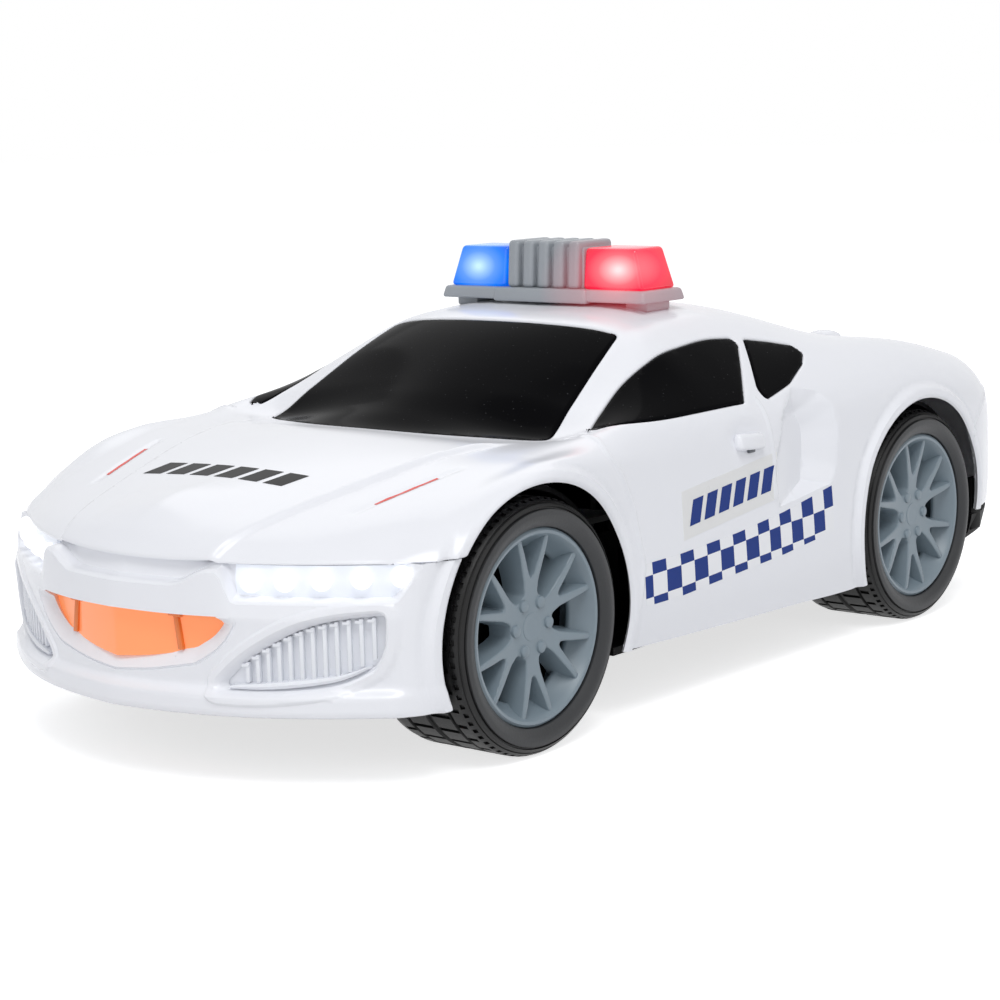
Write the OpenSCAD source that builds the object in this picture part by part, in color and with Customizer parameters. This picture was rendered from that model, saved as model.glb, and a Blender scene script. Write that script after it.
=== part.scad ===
// Toy police car, assembled from separate pieces.
// Frame: Z up, the nose points to -Y, the car's left side is +X, the ground is Z = 0.

/* [Body] */
// Length over the splitter and the rear bumper
body_len = 323.4; // [300:0.1:350]
// Width over the rear fenders
body_w = 145.2; // [140:0.1:160]
// Height of the roof above the ground
roof_h = 97.8; // [92:0.1:106]
// Wall of the moulded body and bumpers
body_wall = 2.4; // [1.8:0.1:3]
// Gap along the seams between moulded panels
seam = 0.3; // [0.2:0.05:0.6]
// Thickness of the black window panels
glass_t = 1.8; // [1.2:0.1:2.2]
// Step from the body skin down to the window panels
glass_step = 0.2; // [0:0.05:0.4]
// Gap round each window panel
glass_gap = 0.25; // [0.15:0.05:0.5]

/* [Wheels] */
// Outer diameter of the tyres
tyre_d = 62; // [58:0.5:64]
// Width of a tyre
tyre_w = 30; // [26:0.5:32]
// Diameter of the rim where the tyre sits
rim_d = 48; // [44:0.5:50]
// Distance over the outer faces of a pair of tyres
track = 144.6; // [142:0.1:150]
// Distance from the nose to the front axle
front_overhang = 72.1; // [66:0.1:78]
// Distance from the rear axle to the tail
rear_overhang = 70.1; // [64:0.1:76]
// Gap between a tyre and the arch cut in the body
arch_gap = 3.7; // [3.2:0.1:5]
// Gap between a tyre and the black arch liner
liner_gap = 1.5; // [1.2:0.1:1.8]
// Wall of the arch liners
liner_wall = 1.2; // [1:0.1:1.4]
// Diameter of the steel axles
axle_d = 4; // [3:0.1:5]
// Running clearance round a turning shaft
run_clear = 0.05; // [0.03:0.01:0.1]
// Thickness of the spoked face of a rim
spoke_t = 3.6; // [2.5:0.1:5]
// Number of spoke pairs
spoke_pairs = 6; // [5:1:8]

/* [Chassis] */
// Drop from the axles to the underside of the chassis floor
floor_drop = 14.5; // [14:0.1:16]
// Thickness of the chassis floor
floor_t = 2; // [1.6:0.1:3]
// Height of the screw posts above the underside of the floor
post_h = 9; // [8:0.5:11]
// Outer diameter of the screw posts and bosses
post_d = 10; // [9:0.5:12]
// Shank diameter of the tapping screws
screw_d = 2.9; // [2.5:0.1:3.5]
// Head diameter of the tapping screws
screw_head_d = 5.5; // [5:0.1:6.5]
// Length of the screw shanks
screw_len = 14; // [10:0.5:18]
// Height of the screw heads
screw_head_h = 2; // [1.5:0.1:2.5]
// Clearance round a screw
screw_clear = 0.15; // [0.1:0.05:0.3]

/* [Friction drive] */
// Tooth size of the gears
gear_module = 0.9; // [0.8:0.05:1]
// Teeth on the axle gear
axle_gear_teeth = 28; // [26:1:30]
// Teeth on the two pinions
pinion_teeth = 10; // [9:1:12]
// Teeth on the idler wheel
idler_teeth = 26; // [24:1:28]
// Face width of the gears
gear_w = 5; // [4:0.5:6]
// Side gap between neighbouring gears
gear_gap = 1; // [0.6:0.1:1.5]
// Extra centre distance between meshing gears
mesh_gap = 0.15; // [0.1:0.05:0.3]
// Diameter of the flywheel
flywheel_d = 28; // [24:0.5:29]
// Thickness of the flywheel
flywheel_w = 9; // [6:0.5:11]
// Diameter of the idler pin and the flywheel shaft
pin_d = 2.2; // [1.8:0.1:3]
// Thickness of the gearbox cheeks
cheek_t = 2; // [1.5:0.1:3]

/* [Light bar] */
// Length of the light bar base
bar_len = 72; // [60:0.5:80]
// Depth of the light bar base, front to back
bar_depth = 20; // [16:0.5:24]
// Thickness of the light bar base
bar_base_t = 3.4; // [2.5:0.1:5]
// Gap between the roof and the light bar base
bar_lift = 1; // [0.6:0.1:2]
// Place of the light bar along the car
bar_y = 13.6; // [5:0.1:22]
// Height of the coloured lenses
lens_h = 11.4; // [8:0.1:14]
// Wall of the coloured lenses
lens_wall = 1.5; // [1.2:0.1:2]
// Width of the ribbed centre cover
cover_w = 26.8; // [22:0.1:32]
// Height of the ribbed centre cover
cover_h = 13.3; // [12:0.1:16]
// Number of ribs on the cover
cover_ribs = 5; // [4:1:7]

/* [Electrics] */
// Diameter of the AA cells
cell_d = 14.5; // [14.2:0.1:14.8]
// Length of the AA cells
cell_len = 50.5; // [49:0.1:51]
// Number of cells
cells = 3; // [2:1:3]
// Clearance round the cells
cell_gap = 0.4; // [0.3:0.05:0.6]
// Wall of the battery box
box_wall = 1.8; // [1.4:0.1:2.4]
// Diameter of the headlamp lamps
lamp_d = 5; // [3:0.5:6]
// Diameter of the speaker
speaker_d = 28; // [24:0.5:30]
// Thickness of the circuit boards
board_t = 1.6; // [1:0.1:2]
// Diameter of the rear push buttons
button_d = 11; // [9:0.5:13]
// Travel of the push buttons
button_travel = 1.5; // [1:0.1:2]
// Travel of the power switch slider
slider_travel = 4; // [3:0.5:6]
// Sliding clearance of the buttons and the slider
slide_clear = 0.25; // [0.15:0.05:0.4]

/* [Hidden] */
$fn = 48;
eps = 0.02;

// Places worked out from the driving sizes
axle_z = tyre_d / 2;
front_y = front_overhang - body_len / 2;
rear_y = body_len / 2 - rear_overhang;
wheelbase = rear_y - front_y;
wheel_x = track / 2;
arch_r = tyre_d / 2 + arch_gap;
liner_r = tyre_d / 2 + liner_gap;
well_x = wheel_x - tyre_w - 2.5;
floor_z = axle_z - floor_drop;
floor_top = floor_z + floor_t;
post_top = floor_z + post_h;

// Places of the friction drive, from the rear axle forward, and its stages from right to left
idler_angle = 10;
fly_angle = 5;
axle_mesh = gear_module * (axle_gear_teeth + pinion_teeth) / 2 + mesh_gap;
fly_mesh = gear_module * (idler_teeth + pinion_teeth) / 2 + mesh_gap;
idler_at = [rear_y - axle_mesh * cos(idler_angle), axle_z + axle_mesh * sin(idler_angle)];
fly_at = idler_at + fly_mesh * [-cos(fly_angle), sin(fly_angle)];
stage_one = -9;
stage_two = stage_one + gear_w + gear_gap;
fly_from = stage_two + gear_w + gear_gap;
cheek_left = fly_from + flywheel_w + gear_gap;
cheek_right = stage_one - gear_gap - cheek_t;
box_from = fly_at[0] - flywheel_d / 2 - 3;
box_to = rear_y + 9;
box_top = fly_at[1] + flywheel_d / 2 + 3;

// Lines of the skin, as rows of station, half width and height.
// Centre line of the hood, windscreen, roof and deck
centre_line = [
    [-156, 0, 52.5], [-150, 0, 57], [-139, 0, 60.8], [-120, 0, 65], [-99, 0, 69], [-84, 0, 71],
    [-69, 0, 71.2], [-59, 0, 75], [-49, 0, 79.8], [-16, 0, 95.4], [1, 0, 97.3], [16, 0, 97.8],
    [36, 0, 96.8], [61, 0, 92.5], [86, 0, 86.5], [111, 0, 80.5], [136, 0, 76], [151, 0, 73],
    [159, 0, 69.5], [161.7, 0, 64]
];
// Hood crease, edge of the windscreen, edge of the roof, edge of the deck
rail_line = [
    [-156, 40, 52.5], [-150, 41, 56.3], [-139, 42, 60], [-120, 44, 64.6], [-99, 46, 68.6], [-84, 47, 70],
    [-69, 48, 70.4], [-56, 48.5, 70.4], [-44, 47, 76.5], [-13, 41, 91.6], [1, 40, 93.8], [21, 39.5, 94.5],
    [41, 39, 93], [61, 38, 89.5], [86, 36, 83.5], [111, 35, 78.8], [136, 35, 75.2], [151, 36, 72.2],
    [159, 36, 68.8], [161.7, 34, 63.4]
];
// Crown of the fenders and lower edge of the side windows
belt_line = [
    [-156, 60, 52.5], [-150, 60, 55.8], [-139, 60.5, 60.6], [-120, 61, 65.4], [-99, 62, 68.8],
    [-84, 62.5, 70], [-69, 63.5, 71.4], [-56, 65, 72.8], [-39, 65.5, 73.8], [-13, 66, 73.8], [7, 66, 73.5],
    [21, 65, 74], [41, 62.5, 77], [61, 60, 80.5], [86, 57, 82], [111, 57, 79.5], [136, 57.5, 74.5],
    [151, 55, 71], [159, 52, 67], [161.7, 49, 61.8]
];
// Upper edge of the body side
shoulder_line = [
    [-156, 70, 53.2], [-139, 70.6, 59.8], [-120, 71.2, 66], [-99, 71.6, 68.6], [-84, 71.6, 69],
    [-69, 71, 68.2], [-56, 70, 67.5], [-39, 69.5, 67], [7, 69.3, 67], [21, 69, 67.5], [41, 69, 69],
    [61, 69.5, 70.5], [86, 70.5, 71], [111, 70.5, 69], [136, 68.4, 65.5], [151, 64.5, 62.5],
    [159, 59.5, 60], [161.7, 56, 57]
];
// Widest line of the body side
waist_line = [
    [-156, 70.8, 46], [-120, 72, 48], [-84, 72.3, 50], [-56, 71.5, 48], [-13, 71, 46], [21, 71.2, 46],
    [61, 72, 48], [86, 72.6, 50], [111, 72.6, 50], [136, 70.8, 48], [151, 66.5, 46],
    [159, 61.5, 45], [161.7, 58, 45]
];
// Lower crease of the body side
sill_line = [
    [-156, 70.8, 30], [-120, 72, 30], [-84, 72.3, 30], [-56, 71.8, 29], [-13, 71.5, 28], [21, 71.8, 27.5],
    [61, 72.2, 27], [86, 72.6, 28], [111, 72.6, 30], [136, 70.6, 32], [151, 66.3, 32],
    [159, 61.5, 32], [161.7, 58, 33]
];
// Bottom edge of the body side
foot_line = [
    [-156, 70.3, 20], [-120, 71.4, 20], [-84, 71.8, 20], [-56, 70.8, 18.6], [-13, 70.6, 17.2],
    [21, 70.8, 16.4], [61, 71.2, 15.8], [86, 71.6, 20], [111, 71.6, 22], [136, 69.6, 24], [151, 65.3, 24],
    [159, 60.5, 24], [161.7, 57, 27]
];
skin_lines = [centre_line, rail_line, belt_line, shoulder_line, waist_line, sill_line, foot_line];

// The lines are drawn round axles at these places, and stretched to the sizes above:
// the nose by the front overhang, the middle by the wheelbase, the tail by the rear overhang
end_station = centre_line[len(centre_line) - 1][0];
drawn_len = 2 * end_station;
drawn_w = 2 * max([for (q = waist_line) q[1]]);
drawn_roof = max([for (q = centre_line) q[2]]);
drawn_axles = [-89.6, 91.6, 31];
stretch_x = body_w / drawn_w;
stretch_z = (roof_h - axle_z) / (drawn_roof - drawn_axles[2]);
y_marks = [
    [-end_station, -body_len / 2], [drawn_axles[0], front_y],
    [drawn_axles[1], rear_y], [end_station, body_len / 2]
];
function past(a, b, v) = b[1] + (v - b[0]) * (b[1] - a[1]) / (b[0] - a[0]);
function place_y(y) =
    y < y_marks[1][0] ? past(y_marks[1], y_marks[0], y)
        : y > y_marks[2][0] ? past(y_marks[2], y_marks[3], y) : lookup(y, y_marks);
function drawn_y(y) = lookup(y, [for (m = y_marks) [m[1], m[0]]]);
function place_x(x) = x * stretch_x;
function place_z(z) = axle_z + (z - drawn_axles[2]) * stretch_z;
function stretched(p) = [place_x(p[0]), place_y(p[1]), place_z(p[2])];

// How far each station bows back at the nose and forward at the tail
bow_line = [[-156, 0.0063], [-120, 0.0042], [-84, 0.0015], [-59, 0.0008], [-29, 0], [101, 0], [136, -0.0014],
    [162, -0.0022]];
nose_bow = 0.0063;
hood_station = -156;
tail_station = 152;

// Smooth curve through the rows of a list, at the value t of the first column
function row_before(p, t, i = 0) = i >= len(p) - 2 || t < p[i + 1][0] ? i : row_before(p, t, i + 1);
function row_slope(p, i) =
    let (a = max(i - 1, 0), b = min(i + 1, len(p) - 1))
    (p[b] - p[a]) / (p[b][0] - p[a][0]);
function hermite(a, b, ta, tb, w) =
    (2 * w ^ 3 - 3 * w ^ 2 + 1) * a + (w ^ 3 - 2 * w ^ 2 + w) * ta
    + (3 * w ^ 2 - 2 * w ^ 3) * b + (w ^ 3 - w ^ 2) * tb;
function curve(p, t) =
    let (i = row_before(p, t), h = p[i + 1][0] - p[i][0], w = min(max((t - p[i][0]) / h, 0), 1))
    hermite(p[i], p[i + 1], row_slope(p, i) * h, row_slope(p, i + 1) * h, w);
function bow(s) = lookup(s, bow_line);

// Smooth curve through four neighbours, between the middle two
function knot(a, b) = sqrt(max(norm(b - a), 0.01));
function blend(p0, p1, p2, p3, w) =
    let (
        d0 = knot(p0, p1), d1 = knot(p1, p2), d2 = knot(p2, p3),
        t1 = d1 * ((p1 - p0) / d0 - (p2 - p0) / (d0 + d1) + (p2 - p1) / d1),
        t2 = d1 * ((p2 - p1) / d1 - (p3 - p1) / (d1 + d2) + (p3 - p2) / d2)
    )
    hermite(p1, p2, t1, t2, w);

// Half section at a station, from the centre line down to the foot, moved in by a wall
side_steps = 3;
shoulder_index = 3 * side_steps;
foot_index = 6 * side_steps;
function section(s) =
    let (
        k = [for (l = skin_lines) let (q = curve(l, s)) [q[1], q[2]]],
        e = concat([[-k[1][0], k[1][1]]], k, [2 * k[6] - k[5]])
    )
    concat(
        [for (i = [1:6], j = [0:side_steps - 1])
            blend(e[i - 1], e[i], e[i + 1], e[i + 2], j / side_steps)],
        [k[6]]
    );
function inset(q, wall) = [
    for (i = [0:len(q) - 1])
        let (
            a = i == 0 ? [-q[1][0], q[1][1]] : q[i - 1],
            b = i == len(q) - 1 ? 2 * q[i] - q[i - 1] : q[i + 1],
            t = (b - a) / norm(b - a)
        )
        q[i] + wall * [t[1], -t[0]]
];

// Closed ring at a station: over the top from the left foot to the right foot, and back along the bottom
function bowed(s, x, z) = stretched([x, s + bow(s) * x ^ 2, z]);
function ring(s, wall, drop) =
    let (q = inset(section(s), wall), base = q[foot_index][1] - drop)
    concat(
        [bowed(s, q[foot_index][0], base)],
        [for (i = [foot_index - 1:-1:0]) bowed(s, q[i][0], q[i][1])],
        [for (i = [1:foot_index - 1]) bowed(s, -q[i][0], q[i][1])],
        [bowed(s, -q[foot_index][0], base)],
        [for (i = [shoulder_index:-1:0]) bowed(s, -q[i][0], base)],
        [for (i = [1:shoulder_index]) bowed(s, q[i][0], base)]
    );
ring_len = 2 * foot_index + 2 * shoulder_index + 2;
// Index on the ring of point i of the section, on the side given by +1 or -1, and of the bottom under it
function top_at(i, side) = foot_index - side * i;
function base_at(i, side) = 2 * foot_index + 1 + shoulder_index + side * i;
function cap(side, first) = concat(
    [for (i = [0:shoulder_index - 1], t = [0, 1])
        t == 0 ? [first + top_at(i, side), first + top_at(i + 1, side), first + base_at(i + 1, side)]
            : [first + top_at(i, side), first + base_at(i + 1, side), first + base_at(i, side)]],
    [for (i = [shoulder_index:foot_index - 1])
        [first + top_at(i, side), first + top_at(i + 1, side), first + base_at(shoulder_index, side)]]
);
function flipped(faces) = [for (f = faces) [f[2], f[1], f[0]]];

// Solid of the skin between two stations, moved in by a wall
module skin(from, to, wall = 0, drop = 0, pitch = 9) {
    count = ceil((to - from) / pitch);
    rings = [for (i = [0:count]) ring(from + (to - from) * i / count, wall, drop)];
    last = count * ring_len;
    sides = [for (i = [0:count - 1], k = [0:ring_len - 1], t = [0, 1])
        let (a = i * ring_len + k, b = i * ring_len + (k + 1) % ring_len)
        t == 0 ? [a, b + ring_len, a + ring_len] : [a, b, b + ring_len]];
    front = concat(cap(1, 0), flipped(cap(-1, 0)));
    back = concat(flipped(cap(1, last)), cap(-1, last));
    polyhedron([for (r = rings, p = r) p], concat(sides, front, back), convexity = 6);
}
function roof_at(y) = place_z(curve(centre_line, drawn_y(y))[2]);

// Filled outline with round corners through points that all see its middle
module blob(points, r) {
    middle = [for (k = [0, 1]) [for (p = points) p[k]] * [for (p = points) 1] / len(points)];
    for (i = [0:len(points) - 1])
        hull() {
            translate(points[i]) circle(r, $fn = 16);
            translate(points[(i + 1) % len(points)]) circle(r, $fn = 16);
            translate(middle) circle(r, $fn = 16);
        }
}
module on_side(side) {
    mirror([side < 0 ? 1 : 0, 0, 0]) children();
}
module both_sides() {
    children();
    mirror([1, 0, 0]) children();
}
// Straight cut upward through the skin, drawn in plan
module plan_cut(points, r) {
    translate([0, 0, place_z(60)])
        linear_extrude(roof_h - place_z(60) + 10)
            blob([for (p = points) [place_x(p[0]), place_y(p[1])]], r);
}
// Straight cut along the car, drawn on the front or rear face
module face_cut(points, r, from, to) {
    translate([0, to, 0])
        rotate([90, 0, 0])
            linear_extrude(to - from)
                blob([for (p = points) [place_x(p[0]), place_z(p[1])]], r);
}

// Window outlines in plan, drawn at the middle of their corner rounds
pane_r = 1.6;
windscreen_outline = [
    [0, -67.4], [-17, -65.9], [-33, -61.4], [-46.3, -54.8], [-43.6, -41], [-40.6, -26], [-38, -14.5],
    [-20, -17.2], [0, -18], [20, -17.2], [38, -14.5], [40.6, -26], [43.6, -41], [46.3, -54.8],
    [33, -61.4], [17, -65.9]
];
rear_outline = [
    [0, 62], [18, 62.5], [31, 64], [30, 80], [28, 98], [26, 111], [13, 112], [0, 112.4],
    [-13, 112], [-26, 111], [-28, 98], [-30, 80], [-31, 64], [-18, 62.5]
];
door_outline = [
    [60, -53], [56.6, -43], [53.6, -30], [52, -12], [51, 2], [50.4, 14], [50.8, 24.4],
    [57.5, 15.8], [64.4, 6.6], [64.6, -14], [64.2, -34], [62.6, -47]
];
quarter_outline = [
    [51.6, 31.4], [52.7, 42], [55.6, 49], [58, 45.6],
    [61.8, 33.4], [63.6, 19.6], [57.6, 25.4], [53.6, 29.4]
];

// A window panel: the skin between two depths, inside its outline
module pane(points) {
    first = min([for (p = points) p[1]]) - 10;
    last = max([for (p = points) p[1]]) + 10;
    intersection() {
        difference() {
            skin(first, last, glass_step, pitch = 6);
            skin(first - 1, last + 1, glass_step + glass_t, 4, pitch = 6);
        }
        plan_cut(points, pane_r - glass_gap);
    }
}

// Screw places: [x, y] of the posts that carry the shell and the bumpers
function post_pair(inside, y) = [for (side = [1, -1]) [side * (well_x - inside), place_y(y)]];
function behind_nose(x, depth) = nose_y(x / stretch_x) + depth;
shell_posts = concat(post_pair(10.8, -118), post_pair(8.8, 137));
nose_posts = post_pair(6.8, behind_nose(well_x - 6.8, 14.3));
tail_posts = post_pair(15.8, 147);
boss_d = 7;
handle_y = place_y(3.5);
handle_z = place_z(63.3);
handle_len = 9;
handle_h = 4;
button_x = 20;
button_y = place_y(122);
button_top = roof_at(button_y) + 2.6;
// Underside of the button caps, and the depth of the switches under them
button_seat = roof_at(button_y) - body_wall - 4;
// Top of the push switches, and of the board that carries them
switch_top = button_seat - 2 - button_travel - 0.3;
switch_board_top = switch_top - 2.5;
peg_x = 8;
bar_feet = [[bar_len / 2 - 6, 0], [6 - bar_len / 2, 0]];
foot_d = 5;
foot_gap = 0.05;

module screw_boss(p, top) {
    hull() {
        translate([p[0], p[1], post_top]) cylinder(d = boss_d, h = eps, $fn = 20);
        translate([p[0], p[1], top]) cylinder(d = boss_d + 1, h = eps, $fn = 20);
    }
}
module boss_hole(p) {
    translate([p[0], p[1], post_top - 1])
        cylinder(d = screw_d + 2 * screw_clear, h = screw_len + 2, $fn = 20);
}
module arch_cuts(from) {
    for (y = [front_y, rear_y])
        both_sides()
            translate([from, y, axle_z]) rotate([0, 90, 0]) cylinder(r = arch_r, h = body_w, $fn = 72);
}

module body_shell() {
    color("white")
    difference() {
        union() {
            difference() {
                skin(hood_station, tail_station);
                skin(hood_station - 0.01, tail_station + 2, body_wall, 8, pitch = 14);
            }
            intersection() {
                skin(hood_station + 1, tail_station - 1, body_wall / 2, pitch = 16);
                union() {
                    for (p = shell_posts) screw_boss(p, roof_h);
                    for (x = [-peg_x, peg_x])
                        translate([x, button_y, switch_board_top]) cylinder(d = 5, h = 40, $fn = 20);
                }
            }
            both_sides()
                hull()
                    for (e = [-1, 1])
                        translate([place_x(69.9), handle_y + e * (handle_len - handle_h) / 2, handle_z])
                            scale([0.5, 1, 1]) sphere(d = handle_h, $fn = 16);
        }
        for (p = shell_posts) boss_hole(p);
        arch_cuts(well_x - 2);
        plan_cut(windscreen_outline, pane_r);
        plan_cut(rear_outline, pane_r);
        both_sides() {
            plan_cut(door_outline, pane_r);
            plan_cut(quarter_outline, pane_r);
            translate([button_x, button_y, place_z(60)])
                cylinder(d = button_d + 2 * slide_clear, h = 40, $fn = 32);
        }
        for (p = bar_feet)
            translate([p[0], bar_y, place_z(70)]) cylinder(d = screw_d + 2 * screw_clear, h = 40, $fn = 20);
        nose_sweep(band(0, bumper_top + seam, -3, bumper_room), -80, 80, 32);
    }
}

// Front bumper: a profile of depth behind the nose and height, swept along the bowed nose
bumper_top = 52.1;
bumper_room = 20;
nose_profile = [
    [7.6, bumper_top], [6.2, 44.8], [2.2, 43.4], [1.3, 40], [2, 30], [2.4, 24.6], [0.3, 22.6], [0, 18.6],
    [0.8, 17.8], [6, 17.8], [5, 23], [4.8, 30], [4.3, 41], [8.8, 42.8], [10.2, bumper_top]
];
function nose_y(x) = -drawn_len / 2 + nose_bow * x ^ 2;
module nose_sweep(profile, from, to, steps) {
    n = len(profile);
    points = [for (i = [0:steps], p = profile)
        let (x = from + (to - from) * i / steps)
        stretched([x, nose_y(x) + p[0], p[1]])];
    sides = [for (i = [0:steps - 1], k = [0:n - 1], t = [0, 1])
        let (a = i * n + k, b = i * n + (k + 1) % n)
        t == 0 ? [a, b + n, b] : [a, a + n, b + n]];
    ends = [[for (k = [0:n - 1]) k], [for (k = [n - 1:-1:0]) steps * n + k]];
    polyhedron(points, concat(sides, ends), convexity = 6);
}
// Band of the nose face between two heights and two depths
function band(z0, z1, d0, d1) = [[d0, z1], [d0, z0], [d1, z0], [d1, z1]];

grille_r = 0.8;
grille_outline = [
    [0, 40.2], [15, 40], [29, 40], [26.4, 36.6], [21.4, 33.4], [10, 31.4], [0, 30.4],
    [-10, 31.4], [-21.4, 33.4], [-26.4, 36.6], [-29, 40], [-15, 40]
];
vent_r = 0.8;
vent_outline = [
    [30, 25], [34, 29], [40, 33.5], [47, 37.4], [54, 39.4], [61.4, 40.2],
    [60.8, 34], [59, 30], [54, 27.2], [46, 25.6], [38, 24.9]
];
lamp_x = [34.5, 41.8, 49.2, 56.8, 64];
function lamp_z(x) = 48 + (x - 34.5) * 0.04;
lamp_from = 30.5;
lamp_to = 67.5;
lamp_low = 45;
lamp_high = 51.9;
lamp_seat = 7.4;

module nose_boss(p) {
    translate([p[0] - boss_d / 2, place_y(nose_y(p[0] / stretch_x) + 3.4), post_top])
        cube([boss_d, p[1] - place_y(nose_y(p[0] / stretch_x) + 3.4), 12]);
    translate([p[0], p[1], post_top]) cylinder(d = boss_d, h = 12, $fn = 20);
}
module front_bumper() {
    color("white")
    difference() {
        union() {
            nose_sweep(nose_profile, -69.6, 69.6, 28);
            for (p = nose_posts) nose_boss(p);
        }
        for (p = nose_posts) boss_hole(p);
        arch_cuts(well_x - 2);
        face_cut(grille_outline, grille_r, -body_len, place_y(-140));
        both_sides() {
            face_cut(vent_outline, vent_r, -body_len, place_y(-125));
            nose_sweep(band(lamp_low, lamp_high + 2, 2, 14), lamp_from, lamp_to, 8);
        }
    }
}
module grille_lens() {
    color("darkorange")
    intersection() {
        union() {
            nose_sweep(band(28, 43, 2.2, 4.2), -34, 34, 16);
            for (x = [-18, 18])
                translate([place_x(x) - 0.8, place_y(nose_y(x) + 1.4), place_z(28)]) cube([1.6, 1.6, 15]);
        }
        face_cut(grille_outline, grille_r - glass_gap, -body_len, place_y(-140));
    }
}
slat_pitch = 2.7;
module vent_grille(side) {
    color("gainsboro")
    on_side(side)
    intersection() {
        union() {
            nose_sweep(band(22, 44, 4, 5), 26, 66, 10);
            for (x = [32:slat_pitch:62])
                translate([place_x(x) - 0.7, place_y(nose_y(x) + 2.6), place_z(22)]) cube([1.4, 2.4, 22]);
            nose_sweep(band(22, 26.6, 2.4, 4.5), 26, 66, 10);
        }
        face_cut(vent_outline, vent_r - glass_gap, -body_len, place_y(-125));
    }
}
// Strip that fills a headlamp opening between two depths
module lamp_strip(from, to) {
    nose_sweep(band(lamp_low + seam, lamp_high - seam, from, to), lamp_from + seam, lamp_to - seam, 8);
}
module headlamp_lens(side) {
    color("aliceblue")
    on_side(side) {
        lamp_strip(lamp_seat - 1, lamp_seat);
        for (x = lamp_x)
            intersection() {
                translate(stretched([x, nose_y(x) + lamp_seat - 0.5, lamp_z(x)]))
                    sphere(d = lamp_d, $fn = 20);
                lamp_strip(2, lamp_seat - 0.2);
            }
    }
}
module headlamp_board(side) {
    color("seagreen")
    on_side(side)
    lamp_strip(lamp_seat, lamp_seat + board_t);
}

// Rear bumper: the end of the skin behind the tail seam
tail_outline = [[31, 50.6], [40, 50.2], [47, 50], [51.6, 50.4], [51.4, 55], [46, 56], [38, 56.6], [31, 57]];
tail_r = 0.8;
module rear_bumper() {
    color("white")
    difference() {
        union() {
            difference() {
                skin(tail_station + seam, end_station, pitch = 2.4);
                skin(tail_station - 2, end_station - body_wall, body_wall, 8, pitch = 4);
            }
            for (p = tail_posts) {
                screw_boss(p, post_top + 12);
                translate([p[0] - boss_d / 2, p[1], post_top])
                    cube([boss_d, place_y(end_station - 2.9) - p[1], 12]);
            }
        }
        for (p = tail_posts) boss_hole(p);
        both_sides() face_cut(tail_outline, tail_r, place_y(152.8), body_len);
    }
}
module tail_lamp(side) {
    color("firebrick")
    on_side(side)
    intersection() {
        difference() {
            skin(tail_station + seam, end_station - 0.3, pitch = 2.4);
            skin(tail_station - 2, end_station - body_wall, 1, 8, pitch = 4);
        }
        face_cut(tail_outline, tail_r - glass_gap, place_y(153), body_len);
    }
}

module windscreen() {
    color("black") pane(windscreen_outline);
}
module rear_window() {
    color("black") pane(rear_outline);
}
module door_window(side) {
    color("black") on_side(side) pane(door_outline);
}
module quarter_window(side) {
    color("black") on_side(side) pane(quarter_outline);
}

// Chassis: a floor with four wheel wells, axle bearings, screw posts and the battery box
floor_edge = place_x(66);
floor_end_w = 2 * well_x - 2;
floor_from = place_y(-145.5);
floor_to = place_y(154);
bearing_d = 11;
bearing_len = 6;
box_y = (front_y + box_from) / 2;
box_w = cells * (cell_d + cell_gap) + cell_gap + 2 * box_wall;
box_len = cell_len + 5 + 2 * box_wall;
box_h = cell_d + 2 * cell_gap + 2.4;
cover_t = floor_t;
speaker_gap = 1.5;
speaker_x = max(cheek_left + cheek_t, box_w / 2) + speaker_gap + speaker_d / 2;
speaker_y = rear_y - liner_r - liner_wall - speaker_gap - speaker_d / 2;
slider_x = 22 - floor_edge;
slider_y = (front_y + rear_y) / 2;
slider_w = 4;
slider_len = 8;
switch_h = 6;
board_z = floor_z + box_h + box_wall + 3;
// Slot in the floor that the axle gear dips into
gear_well = 16;

module post(p) {
    translate([p[0], p[1], floor_z]) cylinder(d = post_d, h = post_h);
}
module post_hole(p) {
    translate([p[0], p[1], floor_z - 1]) cylinder(d = screw_head_d + 4 * screw_clear, h = post_h - 3);
    translate([p[0], p[1], floor_z]) cylinder(d = screw_d + 2 * screw_clear, h = post_h + 1);
}
all_posts = concat(shell_posts, nose_posts, tail_posts);
module wheel_well(y) {
    translate([well_x, y, axle_z]) rotate([0, 90, 0])
        difference() {
            cylinder(r = liner_r + liner_wall, h = floor_edge - well_x);
            translate([0, 0, liner_wall]) cylinder(r = liner_r, h = body_w);
        }
    translate([well_x - bearing_len + liner_wall, y, axle_z])
        rotate([0, 90, 0]) cylinder(d = bearing_d, h = bearing_len);
    translate([well_x - bearing_len + liner_wall, y - bearing_d / 2, floor_z])
        cube([bearing_len, bearing_d, axle_z - floor_z]);
}
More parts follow.
